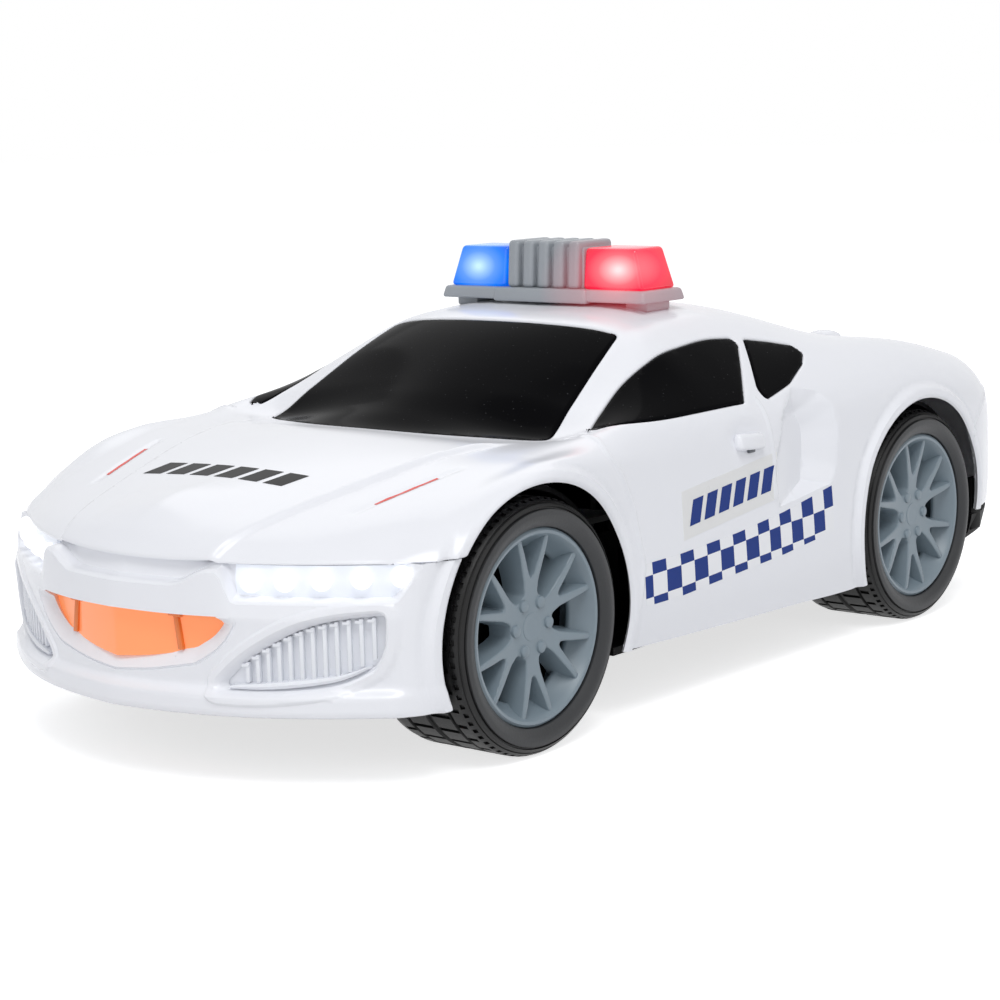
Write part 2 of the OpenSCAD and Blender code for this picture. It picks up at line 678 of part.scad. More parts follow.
// Slot that the power slider travels in
module slider_slot(z, h) {
    slot_w = slider_w + 2 * slide_clear;
    slot_len = slider_len + slider_travel + 2 * slide_clear;
    translate([slider_x - slot_w / 2, slider_y - slot_len / 2, z]) cube([slot_w, slot_len, h]);
}
module chassis() {
    color("dimgray")
    difference() {
        union() {
            translate([0, 0, floor_z])
                linear_extrude(floor_t)
                    polygon(concat(
                        [[floor_end_w / 2, floor_to], [-floor_end_w / 2, floor_to]],
                        [for (i = [-3:3])
                            let (x = floor_end_w / 2 * i / 3)
                            [x, max(floor_from, place_y(behind_nose(x, 6.5)))]]
                    ));
            translate([-floor_edge, front_y + arch_r + 1, floor_z])
                cube([2 * floor_edge, wheelbase - 2 * arch_r - 2, floor_t]);
            both_sides()
                for (y = [front_y, rear_y])
                    intersection() {
                        wheel_well(y);
                        translate([0, y - arch_r - 5, floor_z]) cube([body_w, 2 * arch_r + 10, 2 * arch_r]);
                    }
            for (p = all_posts) post(p);
            translate([-box_w / 2, box_y - box_len / 2, floor_z]) cube([box_w, box_len, box_h + box_wall]);
            for (x = [-1, 1], y = [-1, 1])
                translate([x * (box_w / 2 - 3), box_y + y * (box_len / 2 - 3), floor_z + box_h])
                    cylinder(d = 5, h = board_z - floor_z - box_h);
        }
        for (p = all_posts) post_hole(p);
        for (y = [front_y, rear_y])
            translate([-wheel_x, y, axle_z])
                rotate([0, 90, 0]) cylinder(d = axle_d + 2 * run_clear, h = track);
        translate([-box_w / 2 + box_wall, box_y - box_len / 2 + box_wall, floor_z - 1])
            cube([box_w - 2 * box_wall, box_len - 2 * box_wall, box_h + 1]);
        translate([stage_one - gear_gap, rear_y - gear_well / 2, floor_z - 1])
            cube([gear_w + 2 * gear_gap, gear_well, floor_t + 2]);
        for (a = [0:60:300])
            translate([speaker_x + 8 * cos(a), speaker_y + 8 * sin(a), floor_z - 1])
                cylinder(d = 3, h = floor_t + 2);
        slider_slot(floor_z - 1, floor_t + 2);
    }
}
// Black skirt on the floor, under the rear bumper
skirt_x = 55;
skirt_t = 2;
skirt_station = 157.5;
skirt_top = place_z(23.2);
skirt_fins = 3;
fin_t = 2;
fin_len = 14;
fin_pitch = (tail_posts[0][0] - post_d / 2 - fin_t / 2) / (skirt_fins / 2);
function skirt_y(x) = place_y(skirt_station - 0.0022 * x ^ 2);
module rear_diffuser() {
    color("black")
    translate([0, 0, floor_top]) {
        linear_extrude(skirt_top - floor_top)
            polygon(concat(
                [for (i = [-8:8]) [place_x(skirt_x * i / 8), skirt_y(skirt_x * i / 8)]],
                [for (i = [8:-1:-8]) [place_x(skirt_x * i / 8), skirt_y(skirt_x * i / 8) - skirt_t]]
            ));
        for (i = [0:skirt_fins - 1])
            let (x = (i - (skirt_fins - 1) / 2) * fin_pitch)
            translate([x - fin_t / 2, floor_to - fin_len, 0])
                cube([
                    fin_t, skirt_y(x / stretch_x) - skirt_t / 2 - floor_to + fin_len, skirt_top - floor_top
                ]);
    }
}
module battery_cover() {
    color("dimgray")
    translate([-box_w / 2 + box_wall + seam, box_y - box_len / 2 + box_wall + seam, floor_z])
        cube([box_w - 2 * box_wall - 2 * seam, box_len - 2 * box_wall - 2 * seam, cover_t]);
}
cell_z = floor_z + cover_t + cell_gap / 2 + cell_d / 2;
function cell_x(i) = (i - (cells - 1) / 2) * (cell_d + cell_gap);
module batteries() {
    color("goldenrod")
    for (i = [0:cells - 1])
        translate([cell_x(i), box_y + (i % 2 == 0 ? 1 : -1) * cell_len / 2, cell_z])
            rotate([i % 2 == 0 ? 90 : -90, 0, 0]) {
                cylinder(d = cell_d, h = cell_len - 1);
                cylinder(d = 5.5, h = cell_len);
            }
}
contact_t = 0.5;
module battery_contacts() {
    color("silver")
    for (i = [0:cells - 1], e = [-1, 1])
        translate([cell_x(i), box_y + e * (box_len / 2 - box_wall - contact_t / 2), floor_z + cover_t + 2])
            translate([-4, -contact_t / 2, 0]) cube([8, contact_t, cell_d - 3]);
}

// Wheels, turning on the axles
rim_lip = 0.6;
hub_d = 10;
washer_t = 0.8;
function wheel_in() = wheel_x - tyre_w;
module wheel_place(side, y) {
    translate([0, y, axle_z]) on_side(side) rotate([0, 90, 0]) children();
}
module tyre(side, y) {
    r = tyre_d / 2;
    color("black")
    wheel_place(side, y)
        rotate_extrude($fn = 96)
            polygon([
                [rim_d / 2, wheel_in() + 1.5], [rim_d / 2 + 2, wheel_in()],
                [r - 2, wheel_in()], [r, wheel_in() + 2.5],
                [r, wheel_x - 2.5], [r - 2, wheel_x],
                [rim_d / 2 + 0.6, wheel_x], [rim_d / 2, wheel_x - rim_lip]
            ]);
}
spoke_root = 10.6;
spoke_tip = 21.4;
nut_ring = 8.6;
nut_d = 3;
cap_d = 11;
module spoke_gaps() {
    for (i = [0:spoke_pairs - 1])
        rotate(i * 360 / spoke_pairs) {
            polygon([
                [spoke_root + 2, 0], spoke_tip * [cos(8), sin(8)],
                [spoke_tip + 0.7, 0], spoke_tip * [cos(8), -sin(8)]
            ]);
            rotate(180 / spoke_pairs)
                polygon([
                    spoke_root * [cos(10), -sin(10)], spoke_root * [cos(10), sin(10)],
                    spoke_tip * [cos(14), sin(14)], [spoke_tip + 0.7, 0], spoke_tip * [cos(14), -sin(14)]
                ]);
        }
}
module rim(side, y) {
    face_x = wheel_x - 3;
    color("slategray")
    wheel_place(side, y)
    difference() {
        union() {
            rotate_extrude($fn = 96)
                polygon([
                    [rim_d / 2 - 1.8, wheel_in() + 2], [rim_d / 2, wheel_in() + 2],
                    [rim_d / 2, wheel_x - rim_lip], [rim_d / 2 - 0.6, wheel_x - rim_lip],
                    [rim_d / 2 - 1.8, wheel_x - 2]
                ]);
            translate([0, 0, face_x - spoke_t])
                difference() {
                    cylinder(d = rim_d - 2, h = spoke_t);
                    translate([0, 0, -1]) linear_extrude(spoke_t + 2) spoke_gaps();
                }
            translate([0, 0, well_x + liner_wall + washer_t + 2 * run_clear])
                cylinder(d = hub_d, h = face_x - well_x - liner_wall - washer_t - 2 * run_clear);
            translate([0, 0, face_x]) cylinder(d = cap_d, h = 0.8);
            for (i = [0:spoke_pairs - 1])
                rotate((i + 0.5) * 360 / spoke_pairs)
                    translate([nut_ring, 0, face_x - 1]) cylinder(d = nut_d, h = 1.8, $fn = 24);
        }
        cylinder(d = axle_d, h = face_x - 1);
    }
}
module axle(y) {
    color("silver")
    translate([-wheel_x + 4, y, axle_z]) rotate([0, 90, 0]) cylinder(d = axle_d, h = track - 8);
}
module washers(y) {
    color("silver")
    both_sides()
        translate([well_x + liner_wall + run_clear, y, axle_z]) rotate([0, 90, 0])
            difference() {
                cylinder(d = axle_d + 4, h = washer_t);
                translate([0, 0, -1]) cylinder(d = axle_d, h = washer_t + 2);
            }
}

// Friction drive: axle gear, idler and flywheel between two cheeks
// Gear with straight flanks, drawn from X = 0 along the axle, with a tooth at the given angle
module gear(teeth, w, phase) {
    r = gear_module * teeth / 2;
    p = 360 / teeth;
    rotate([0, 90, 0]) rotate(90)
        linear_extrude(w)
            rotate(phase)
                polygon([for (i = [0:teeth - 1], q = [[-0.3, -1.15], [-0.11, 0.8], [0.11, 0.8], [0.3, -1.15]])
                    (r + q[1] * gear_module) * [cos((i + q[0]) * p), sin((i + q[0]) * p)]]);
}
module at_yz(p, x) {
    translate([x, p[0], p[1]]) children();
}
module along_x(d, h) {
    rotate([0, 90, 0]) cylinder(d = d, h = h);
}
module axle_gear() {
    color("ivory")
    difference() {
        at_yz([rear_y, axle_z], stage_one) gear(axle_gear_teeth, gear_w, 180 - idler_angle);
        at_yz([rear_y, axle_z], stage_one - 1) along_x(axle_d, gear_w + 2);
    }
}
module idler_gear() {
    color("ivory")
    difference() {
        union() {
            at_yz(idler_at, stage_one)
                gear(pinion_teeth, gear_w + gear_gap, -idler_angle + 180 / pinion_teeth);
            at_yz(idler_at, stage_two) gear(idler_teeth, gear_w, 180 - fly_angle);
        }
        at_yz(idler_at, stage_one - 1) along_x(pin_d + 2 * run_clear, 3 * gear_w);
    }
}
module idler_pin() {
    color("silver")
    at_yz(idler_at, cheek_right) along_x(pin_d, cheek_left - cheek_right + cheek_t);
}
module flywheel() {
    color("gray") {
        at_yz(fly_at, stage_two) gear(pinion_teeth, gear_w + gear_gap, -fly_angle + 180 / pinion_teeth);
        at_yz(fly_at, fly_from) along_x(flywheel_d, flywheel_w);
        at_yz(fly_at, cheek_right) along_x(pin_d, cheek_left - cheek_right + cheek_t);
    }
}
gearbox_bolts = [[box_from + 4, floor_top + 4], [box_from + 4, box_top - 4], [box_to - 4, box_top - 4]];
module cheek(x) {
    difference() {
        translate([x, box_from, floor_top]) cube([cheek_t, box_to - box_from, box_top - floor_top]);
        at_yz([rear_y, axle_z], x - 1) along_x(axle_d + 4 * run_clear, cheek_t + 2);
        at_yz(idler_at, x - 1) along_x(pin_d, cheek_t + 2);
        at_yz(fly_at, x - 1) along_x(pin_d + 2 * run_clear, cheek_t + 2);
        for (b = gearbox_bolts) at_yz(b, x - 1) along_x(screw_d, cheek_t + 2);
    }
}
module gearbox_left() {
    color("dimgray") {
        cheek(cheek_left);
        for (b = gearbox_bolts)
            at_yz(b, cheek_right + cheek_t)
                difference() {
                    along_x(6, cheek_left - cheek_right - cheek_t + eps);
                    translate([-1, 0, 0]) along_x(screw_d, cheek_left - cheek_right);
                }
    }
}
module gearbox_right() {
    color("dimgray") cheek(cheek_right);
}
module gearbox_screws() {
    color("silver")
    for (b = gearbox_bolts)
        at_yz(b, cheek_right - screw_head_h) {
            along_x(screw_head_d, screw_head_h);
            along_x(screw_d, screw_len);
        }
}

// Light bar on the roof
bar_base_z = roof_at(bar_y) + bar_lift;
bar_top_z = bar_base_z + bar_base_t;
lens_depth = bar_depth - 4;
lens_from = cover_w / 2 + 0.2;
lens_to = bar_len / 2 - 1.8;
module lens_block(grow) {
    hull() {
        translate([lens_from - grow, bar_y - lens_depth / 2 - grow, bar_top_z - grow])
            cube([lens_to - lens_from + 2 * grow, lens_depth + 2 * grow, eps]);
        translate([lens_from - grow, bar_y - lens_depth / 2 + 1.2 - grow, bar_top_z + lens_h - eps + grow])
            cube([lens_to - lens_from - 3.6 + 2 * grow, lens_depth - 3 + 2 * grow, eps]);
    }
}
module lens(side) {
    on_side(side)
    difference() {
        lens_block(0);
        lens_block(-lens_wall);
        translate([lens_from + lens_wall, bar_y - lens_depth / 2 + lens_wall, bar_top_z - 1])
            cube([lens_to - lens_from - 2 * lens_wall, lens_depth - 2 * lens_wall, lens_wall + 2]);
    }
}
module blue_lens() {
    color("dodgerblue") lens(-1);
}
module red_lens() {
    color("red") lens(1);
}
module lightbar_base() {
    color("slategray")
    difference() {
        union() {
            translate([-bar_len / 2, bar_y - bar_depth / 2, bar_base_z])
                cube([bar_len, bar_depth, bar_base_t]);
            for (p = bar_feet)
                translate([p[0], bar_y, bar_base_z - bar_lift - 3.4]) cylinder(d = foot_d, h = bar_lift + 4);
        }
        for (p = bar_feet)
            translate([p[0], bar_y, bar_base_z - 10]) cylinder(d = screw_d, h = 10 + bar_base_t - 1);
        foot_seat();
    }
}
// The body under the light bar feet, which the feet sit on
module foot_seat() {
    for (p = bar_feet)
        translate([p[0] - foot_d, bar_y - foot_d, foot_z(p[0]) - 20]) cube([2 * foot_d, 2 * foot_d, 20]);
}
function foot_z(x) =
    let (inner = (abs(x) - foot_d / 2) / stretch_x)
    place_z(lookup(inner, section(drawn_y(bar_y)))) + foot_gap;
module lightbar_cover() {
    rib = cover_w / (2 * cover_ribs - 1);
    color("slategray")
    difference() {
        union() {
            translate([-cover_w / 2, bar_y - lens_depth / 2 - 0.4, bar_top_z])
                cube([cover_w, lens_depth + 0.8, cover_h - 1.2]);
            for (i = [0:cover_ribs - 1])
                translate([-cover_w / 2 + 2 * i * rib, bar_y - lens_depth / 2 - 1.6, bar_top_z])
                    cube([rib, lens_depth + 3.2, cover_h]);
        }
        translate([-cover_w / 2 + lens_wall, bar_y - lens_depth / 2 + lens_wall, bar_top_z - 1])
            cube([cover_w - 2 * lens_wall, lens_depth - 2 * lens_wall, cover_h - lens_wall - 1]);
    }
}
module lightbar_board() {
    strip = lens_to - lens_from - 2 * lens_wall - 1;
    color("seagreen")
    both_sides()
        translate([lens_from + lens_wall + 0.5, bar_y - 4, bar_top_z]) {
            cube([strip, 8, board_t]);
            translate([strip / 2, 4, board_t]) {
                cylinder(d = lamp_d, h = 3);
                translate([0, 0, 3]) sphere(d = lamp_d);
            }
        }
}
module lightbar_screws() {
    color("silver")
    for (p = bar_feet)
        translate([p[0], bar_y, foot_z(p[0]) - body_wall - 1.7 - screw_head_h]) {
            cylinder(d = screw_head_d, h = screw_head_h);
            cylinder(d = screw_d, h = screw_head_h + 1.7 + body_wall + 3);
        }
}

// Push buttons on the rear deck
button_stem = 5;
module button(side) {
    color("white")
    translate([side * button_x, button_y, 0])
    intersection() {
        union() {
            translate([0, 0, button_seat]) cylinder(d = button_d + 4, h = 1.4);
            translate([0, 0, button_seat - 2]) cylinder(d = button_stem, h = 3);
            translate([0, 0, button_seat]) cylinder(d = button_d, h = button_top - button_seat - 1.4);
            translate([0, 0, button_top - 14]) sphere(r = 14, $fn = 64);
        }
        union() {
            translate([0, 0, button_seat - 5]) cylinder(d = button_d, h = 60);
            translate([0, 0, button_seat - 5]) cylinder(d = button_d + 4, h = 6.4);
        }
        translate([0, 0, button_seat - 2]) cylinder(d = 2 * button_d, h = 60);
    }
}

module button_board() {
    color("seagreen") {
        translate([-button_x - 9, button_y - 8, switch_board_top - board_t])
            cube([2 * button_x + 18, 16, board_t]);
        for (x = [-button_x, button_x])
            translate([x - 3, button_y - 3, switch_board_top - eps])
                cube([6, 6, switch_top - switch_board_top + eps]);
    }
}

// Electronics
module circuit_board() {
    color("seagreen") {
        translate([-box_w / 2, box_y - box_len / 2, board_z]) cube([box_w, box_len, board_t]);
        translate([-8, box_y - 12, board_z + board_t - eps]) cube([16, 12, 2]);
        translate([12, box_y + 10, board_z + board_t - eps]) cylinder(d = 6, h = 9);
    }
}
module speaker() {
    color("black")
    translate([speaker_x, speaker_y, floor_top]) {
        cylinder(d = speaker_d, h = 3);
        translate([0, 0, 3 - eps]) cylinder(d1 = speaker_d - 4, d2 = 16, h = 3);
        translate([0, 0, 6 - 2 * eps]) cylinder(d = 16, h = 4);
    }
}
module power_switch() {
    color("gray")
    difference() {
        translate([slider_x - 5, slider_y - slider_len - 2, floor_top])
            cube([10, 2 * slider_len + 4, switch_h]);
        slider_slot(floor_top - 1, switch_h - 1);
    }
}
module power_slider() {
    color("black")
    translate([slider_x - slider_w / 2, slider_y - slider_len / 2 - slider_travel / 2, floor_z + 0.4])
        cube([slider_w, slider_len, floor_t + switch_h - 2.4 - slide_clear]);
}
module body_screws() {
    color("silver")
    for (p = all_posts)
        translate([p[0], p[1], floor_z + post_h - 4 - screw_head_h]) {
            cylinder(d = screw_head_d, h = screw_head_h);
            cylinder(d = screw_d, h = screw_head_h + screw_len);
        }
}

body_shell();
front_bumper();
rear_bumper();
chassis();
rear_diffuser();
windscreen();
rear_window();
door_window(1);  // door_window_left
door_window(-1);  // door_window_right
quarter_window(1);  // quarter_window_left
quarter_window(-1);  // quarter_window_right
grille_lens();
vent_grille(1);  // vent_grille_left
vent_grille(-1);  // vent_grille_right
headlamp_lens(1);  // headlamp_lens_left
headlamp_lens(-1);  // headlamp_lens_right
headlamp_board(1);  // headlamp_board_left
headlamp_board(-1);  // headlamp_board_right
tail_lamp(1);  // tail_lamp_left
tail_lamp(-1);  // tail_lamp_right
lightbar_base();
lightbar_cover();
blue_lens();
red_lens();
lightbar_board();
lightbar_screws();
button(1);  // siren_button
button(-1);  // horn_button
button_board();
tyre(1, front_y);  // tyre_front_left
tyre(-1, front_y);  // tyre_front_right
tyre(1, rear_y);  // tyre_rear_left
tyre(-1, rear_y);  // tyre_rear_right
rim(1, front_y);  // rim_front_left
rim(-1, front_y);  // rim_front_right
rim(1, rear_y);  // rim_rear_left
rim(-1, rear_y);  // rim_rear_right
axle(front_y);  // front_axle
axle(rear_y);  // rear_axle
washers(front_y);  // front_washers
washers(rear_y);  // rear_washers
gearbox_left();
gearbox_right();
axle_gear();
idler_gear();
idler_pin();
flywheel();
gearbox_screws();
circuit_board();
speaker();
batteries();
battery_contacts();
battery_cover();
power_switch();
power_slider();
body_screws();
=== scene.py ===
import math
import bmesh
import bpy
import numpy as np
from mathutils import Matrix, Vector
from mathutils.bvhtree import BVHTree


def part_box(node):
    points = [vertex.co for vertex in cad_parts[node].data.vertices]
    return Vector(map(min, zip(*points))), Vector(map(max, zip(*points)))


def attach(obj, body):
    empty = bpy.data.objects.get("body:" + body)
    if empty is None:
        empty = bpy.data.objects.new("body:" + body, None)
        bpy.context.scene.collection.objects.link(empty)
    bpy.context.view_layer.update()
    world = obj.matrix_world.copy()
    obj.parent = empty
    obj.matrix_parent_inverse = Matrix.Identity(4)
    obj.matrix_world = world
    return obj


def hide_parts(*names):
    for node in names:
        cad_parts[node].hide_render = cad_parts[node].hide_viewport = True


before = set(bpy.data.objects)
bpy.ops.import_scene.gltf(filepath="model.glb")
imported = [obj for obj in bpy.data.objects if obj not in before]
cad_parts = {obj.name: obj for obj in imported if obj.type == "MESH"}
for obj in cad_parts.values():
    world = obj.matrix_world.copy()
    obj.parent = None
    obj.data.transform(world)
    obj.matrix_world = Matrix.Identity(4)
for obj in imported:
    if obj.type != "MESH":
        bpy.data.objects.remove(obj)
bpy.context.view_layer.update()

# lengths below are in millimetres; far is a distance to nothing, pin a radius that closes a turned piece
mm = 0.001
far = 50
pin = 0.001
weld = {"piece": 0.00001, "sheet": 0.00004}
hands = ((1, "Left"), (-1, "Right"))
axleAt = {"front": (-89.6, 31.0), "rear": (91.6, 31.0)}
print("frame loaded")

# camera at the photograph's place
cameraSetup = {"place": (415.4, -525.5, 153.4), "azimuth": 39.199, "elevation": 9.356, "roll": -1.489,
    "lens": 86.5, "sensor": 36, "nearest": 0.01}


def link(obj):
    bpy.context.collection.objects.link(obj)
    return obj


def aimCamera(s):
    a, e, r = (math.radians(s[k]) for k in ("azimuth", "elevation", "roll"))
    back = Vector((math.sin(a) * math.cos(e), -math.cos(a) * math.cos(e), math.sin(e)))
    right = (-back).cross(Vector((0, 0, 1))).normalized()
    up = right.cross(-back)
    side = right * math.cos(r) + up * math.sin(r)
    top = up * math.cos(r) - right * math.sin(r)
    data = bpy.data.cameras.new("photoCamera")
    data.lens = s["lens"]
    data.sensor_width = s["sensor"]
    data.clip_start = s["nearest"]
    cam = link(bpy.data.objects.new("photoCamera", data))
    m = Matrix((side, top, back)).transposed().to_4x4()
    m.translation = Vector(s["place"]) * mm
    cam.matrix_world = m
    bpy.context.scene.camera = cam


aimCamera(cameraSetup)


# shared shader groups
def feed(tree, node, values):
    # each input gets a link or a plain value
    for label, value in values.items():
        if isinstance(value, bpy.types.NodeSocket):
            tree.links.new(value, node.inputs[label])
        else:
            node.inputs[label].default_value = value
    return node


def addNode(tree, kind, values, **settings):
    n = tree.nodes.new("ShaderNode" + kind)
    for key, value in settings.items():
        setattr(n, key, value)
    return feed(tree, n, values)


def mathNode(tree, op, a, b):
    return addNode(tree, "Math", {0: a, 1: b}, operation=op).outputs[0]


def vectorNode(tree, op, values, output=0):
    return addNode(tree, "VectorMath", dict(enumerate(values)), operation=op).outputs[output]


def noiseNode(tree, vector, scale, detail=3.0):
    return addNode(tree, "TexNoise", {"Detail": detail, "Scale": scale, "Vector": vector}).outputs["Fac"]


def newGroup(name, inputs, outputs):
    g = bpy.data.node_groups.new(name, "ShaderNodeTree")
    for label, kind, value in inputs:
        s = g.interface.new_socket(label, in_out="INPUT", socket_type="NodeSocket" + kind)
        if value is not None:
            s.default_value = value
    for label in outputs:
        g.interface.new_socket(label, in_out="OUTPUT", socket_type="NodeSocketFloat")
    return g, g.nodes.new("NodeGroupInput").outputs, g.nodes.new("NodeGroupOutput")


def makeGrain():
    # moulded plastic: slow colour mottle, fine surface grain and sparse dust flecks
    g, given, out = newGroup("mouldedGrain", [("Vector", "Vector", None), ("Grain Scale", "Float", 2200.0)],
                             ["Mottle", "Grain", "Flecks"])
    dust = noiseNode(g, given["Vector"], 1400.0, 1.0)
    sharp = mathNode(g, "MULTIPLY", mathNode(g, "SUBTRACT", dust, 0.74), 12.0)
    feed(g, out, {"Mottle": noiseNode(g, given["Vector"], 38.0, 2.0),
                  "Grain": noiseNode(g, given["Vector"], given["Grain Scale"], 2.0),
                  "Flecks": addNode(g, "Clamp", {"Value": sharp}).outputs[0]})
    return g


def makeRings():
    # fine moulded rings about an axle along X
    g, given, out = newGroup("wheelRings", [("Vector", "Vector", None), ("Axle", "Vector", (0, 0, 0)),
                                            ("Pitch", "Float", 0.001)], ["Ring", "Radius"])
    offset = vectorNode(g, "SUBTRACT", (given["Vector"], given["Axle"]))
    radius = vectorNode(g, "LENGTH", (vectorNode(g, "MULTIPLY", (offset, (0, 1, 1))),), "Value")
    turn = mathNode(g, "DIVIDE", radius, given["Pitch"])
    feed(g, out, {"Ring": mathNode(g, "PINGPONG", turn, 1.0), "Radius": radius})
    return g


mouldedGrain = makeGrain()
wheelRings = makeRings()


def srgb(r, g, b):
    lin = [c / 255 for c in (r, g, b)]
    return tuple(c / 12.92 if c <= 0.04045 else ((c + 0.055) / 1.055) ** 2.4 for c in lin) + (1.0,)


def newMaterial(name):
    mat = bpy.data.materials.new(name)
    mat.use_nodes = True
    t = mat.node_tree
    return mat, t, t.nodes["Principled BSDF"], addNode(t, "TexCoord", {}).outputs["Object"]


def mixNode(tree, values, **settings):
    return addNode(tree, "Mix", values, data_type="RGBA", **settings).outputs["Result"]


def rangeNode(tree, low, high, value):
    return addNode(tree, "MapRange", {"To Min": low, "To Max": high, "Value": value}).outputs[0]


def bumpNode(tree, strength, distance, height):
    return addNode(tree, "Bump", {"Strength": strength, "Distance": distance, "Height": height}).outputs[0]


dustGrey = (0.55, 0.56, 0.58, 1)


def paint(name, colour, rough, mottle, grainScale, bump, roughSpread=0.08, flecks=0.0, sockets={}):
    mat, t, shader, coords = newMaterial(name)
    grain = addNode(t, "Group", {"Grain Scale": grainScale, "Vector": coords}, node_tree=mouldedGrain)
    slow = grain.outputs["Mottle"]
    shade = lambda share: tuple(min(1, c * share) for c in colour[:3]) + (1,)
    tone = mixNode(t, {"A": shade(1 - mottle), "B": shade(1 + mottle), "Factor": slow})
    if flecks:
        dust = mathNode(t, "MULTIPLY", grain.outputs["Flecks"], flecks)
        tone = mixNode(t, {"Factor": dust, "A": tone, "B": dustGrey})
    spread = rangeNode(t, max(0.02, rough - roughSpread), min(1, rough + roughSpread), slow)
    feed(t, shader, {"Base Color": tone, "Roughness": spread,
                     "Normal": bumpNode(t, bump, 0.0002, grain.outputs["Grain"]), **sockets})
    return mat


# colour, roughness, mottle, grain scale, bump, then roughness spread and flecks where they aren't the usual
finishValues = {"shellWhite": ((243, 244, 248), 0.24, 0.01, 1800, 0.012, 0.05),
    "panelBlack": ((8, 8, 10), 0.12, 0.2, 2600, 0.01, 0.04, 0.1),
    "chassisBlack": ((11, 11, 12), 0.5, 0.2, 1500, 0.12, 0.1),
    "dialGrey": ((92, 96, 102), 0.45, 0.05, 1500, 0.06),
    "boardGreen": ((16, 38, 28), 0.4, 0.15, 900, 0.05),
    "steel": ((176, 178, 182), 0.28, 0.05, 2500, 0.03),
    "flywheelMetal": ((150, 148, 142), 0.35, 0.08, 1800, 0.05),
    "gearWhite": ((226, 222, 208), 0.45, 0.04, 1500, 0.05),
    "darkPlastic": ((34, 35, 38), 0.45, 0.15, 1500, 0.08),
    "cellJacket": ((60, 92, 70), 0.35, 0.08, 1200, 0.03),
    "decalBlue": ((14, 52, 132), 0.3, 0.06, 2400, 0.02),
    "decalBlack": ((14, 14, 16), 0.35, 0.1, 2400, 0.02),
    "decalWhite": ((244, 245, 248), 0.2, 0.01, 2400, 0.01),
    "decalFilm": ((234, 234, 233), 0.3, 0.012, 2400, 0.02),
    "lineRed": ((226, 62, 46), 0.35, 0.05, 2400, 0.02),
    "rimGrey": ((128, 142, 151), 0.36, 0.04, 2000, 0.05),
    "amberLensPaintedGlow": ((250, 150, 98), 0.18, 0.06, 1400, 0.02, 0.05),
    "ribAmber": ((240, 126, 52), 0.22, 0.1, 1400, 0.02, 0.05),
    "tailRed": ((172, 18, 22), 0.12, 0.15, 900, 0.03, 0.05),
    "ventWhite": ((238, 240, 245), 0.2, 0.012, 1800, 0.01, 0.05)}
finishSockets = {"shellWhite": {"Specular IOR Level": 0.45}, "panelBlack": {"IOR": 1.055},
    "chassisBlack": {"IOR": 1.15}, "steel": {"Metallic": 1.0}, "flywheelMetal": {"Metallic": 1.0},
    "decalBlue": {"IOR": 1.2}, "decalBlack": {"IOR": 1.15}, "rimGrey": {"Specular IOR Level": 0.5},
    # the amber grille lens has no lamp behind it; its emission is a painted glow that brightens the lens
    "amberLensPaintedGlow": {"Specular IOR Level": 0.3, "Emission Color": (1.0, 0.33, 0.12, 1),
        "Emission Strength": 0.32}}
finishes = {name: paint(name, srgb(*row[0]), *row[1:], sockets=finishSockets.get(name, {}))
            for name, row in finishValues.items()}


def rampNode(tree, stops, value):
    n = addNode(tree, "ValToRGB", {"Fac": value})
    ramp = n.color_ramp.elements
    for k, (spot, colour) in enumerate(stops):
        stop = ramp[k] if k < 2 else ramp.new(spot)
        stop.position, stop.color = spot, colour
    return n.outputs["Color"]


def glowFinish(name, core, body, edge, centre, reach, strength, dye=0.35, rough=0.12):
    # a lit lens: the lamp behind it fades from a hot core to the dyed plastic; on the grey bar it paints the
    # red glow of the lens beside it
    mat = paint(name, tuple(c * dye for c in body[:3]) + (1,), rough, 0.08, 1500, 0.02, 0.04)
    t = mat.node_tree
    coords = addNode(t, "TexCoord", {}).outputs["Object"]
    place = addNode(t, "Mapping", {}, vector_type="TEXTURE")
    feed(t, place, {"Location": centre, "Scale": reach, "Vector": coords})
    blend = lambda share: tuple(c * share + b * (1 - share) for c, b in zip(core, body))
    stops = [(0.05, core), (1.0, edge), (0.24, blend(0.55)), (0.46, blend(0.16)), (0.72, blend(0.0))]
    glow = rampNode(t, stops, vectorNode(t, "LENGTH", (place.outputs[0],), "Value"))
    feed(t, t.nodes["Principled BSDF"], {"Emission Color": glow, "Emission Strength": strength})
    return mat


print("finishes made")

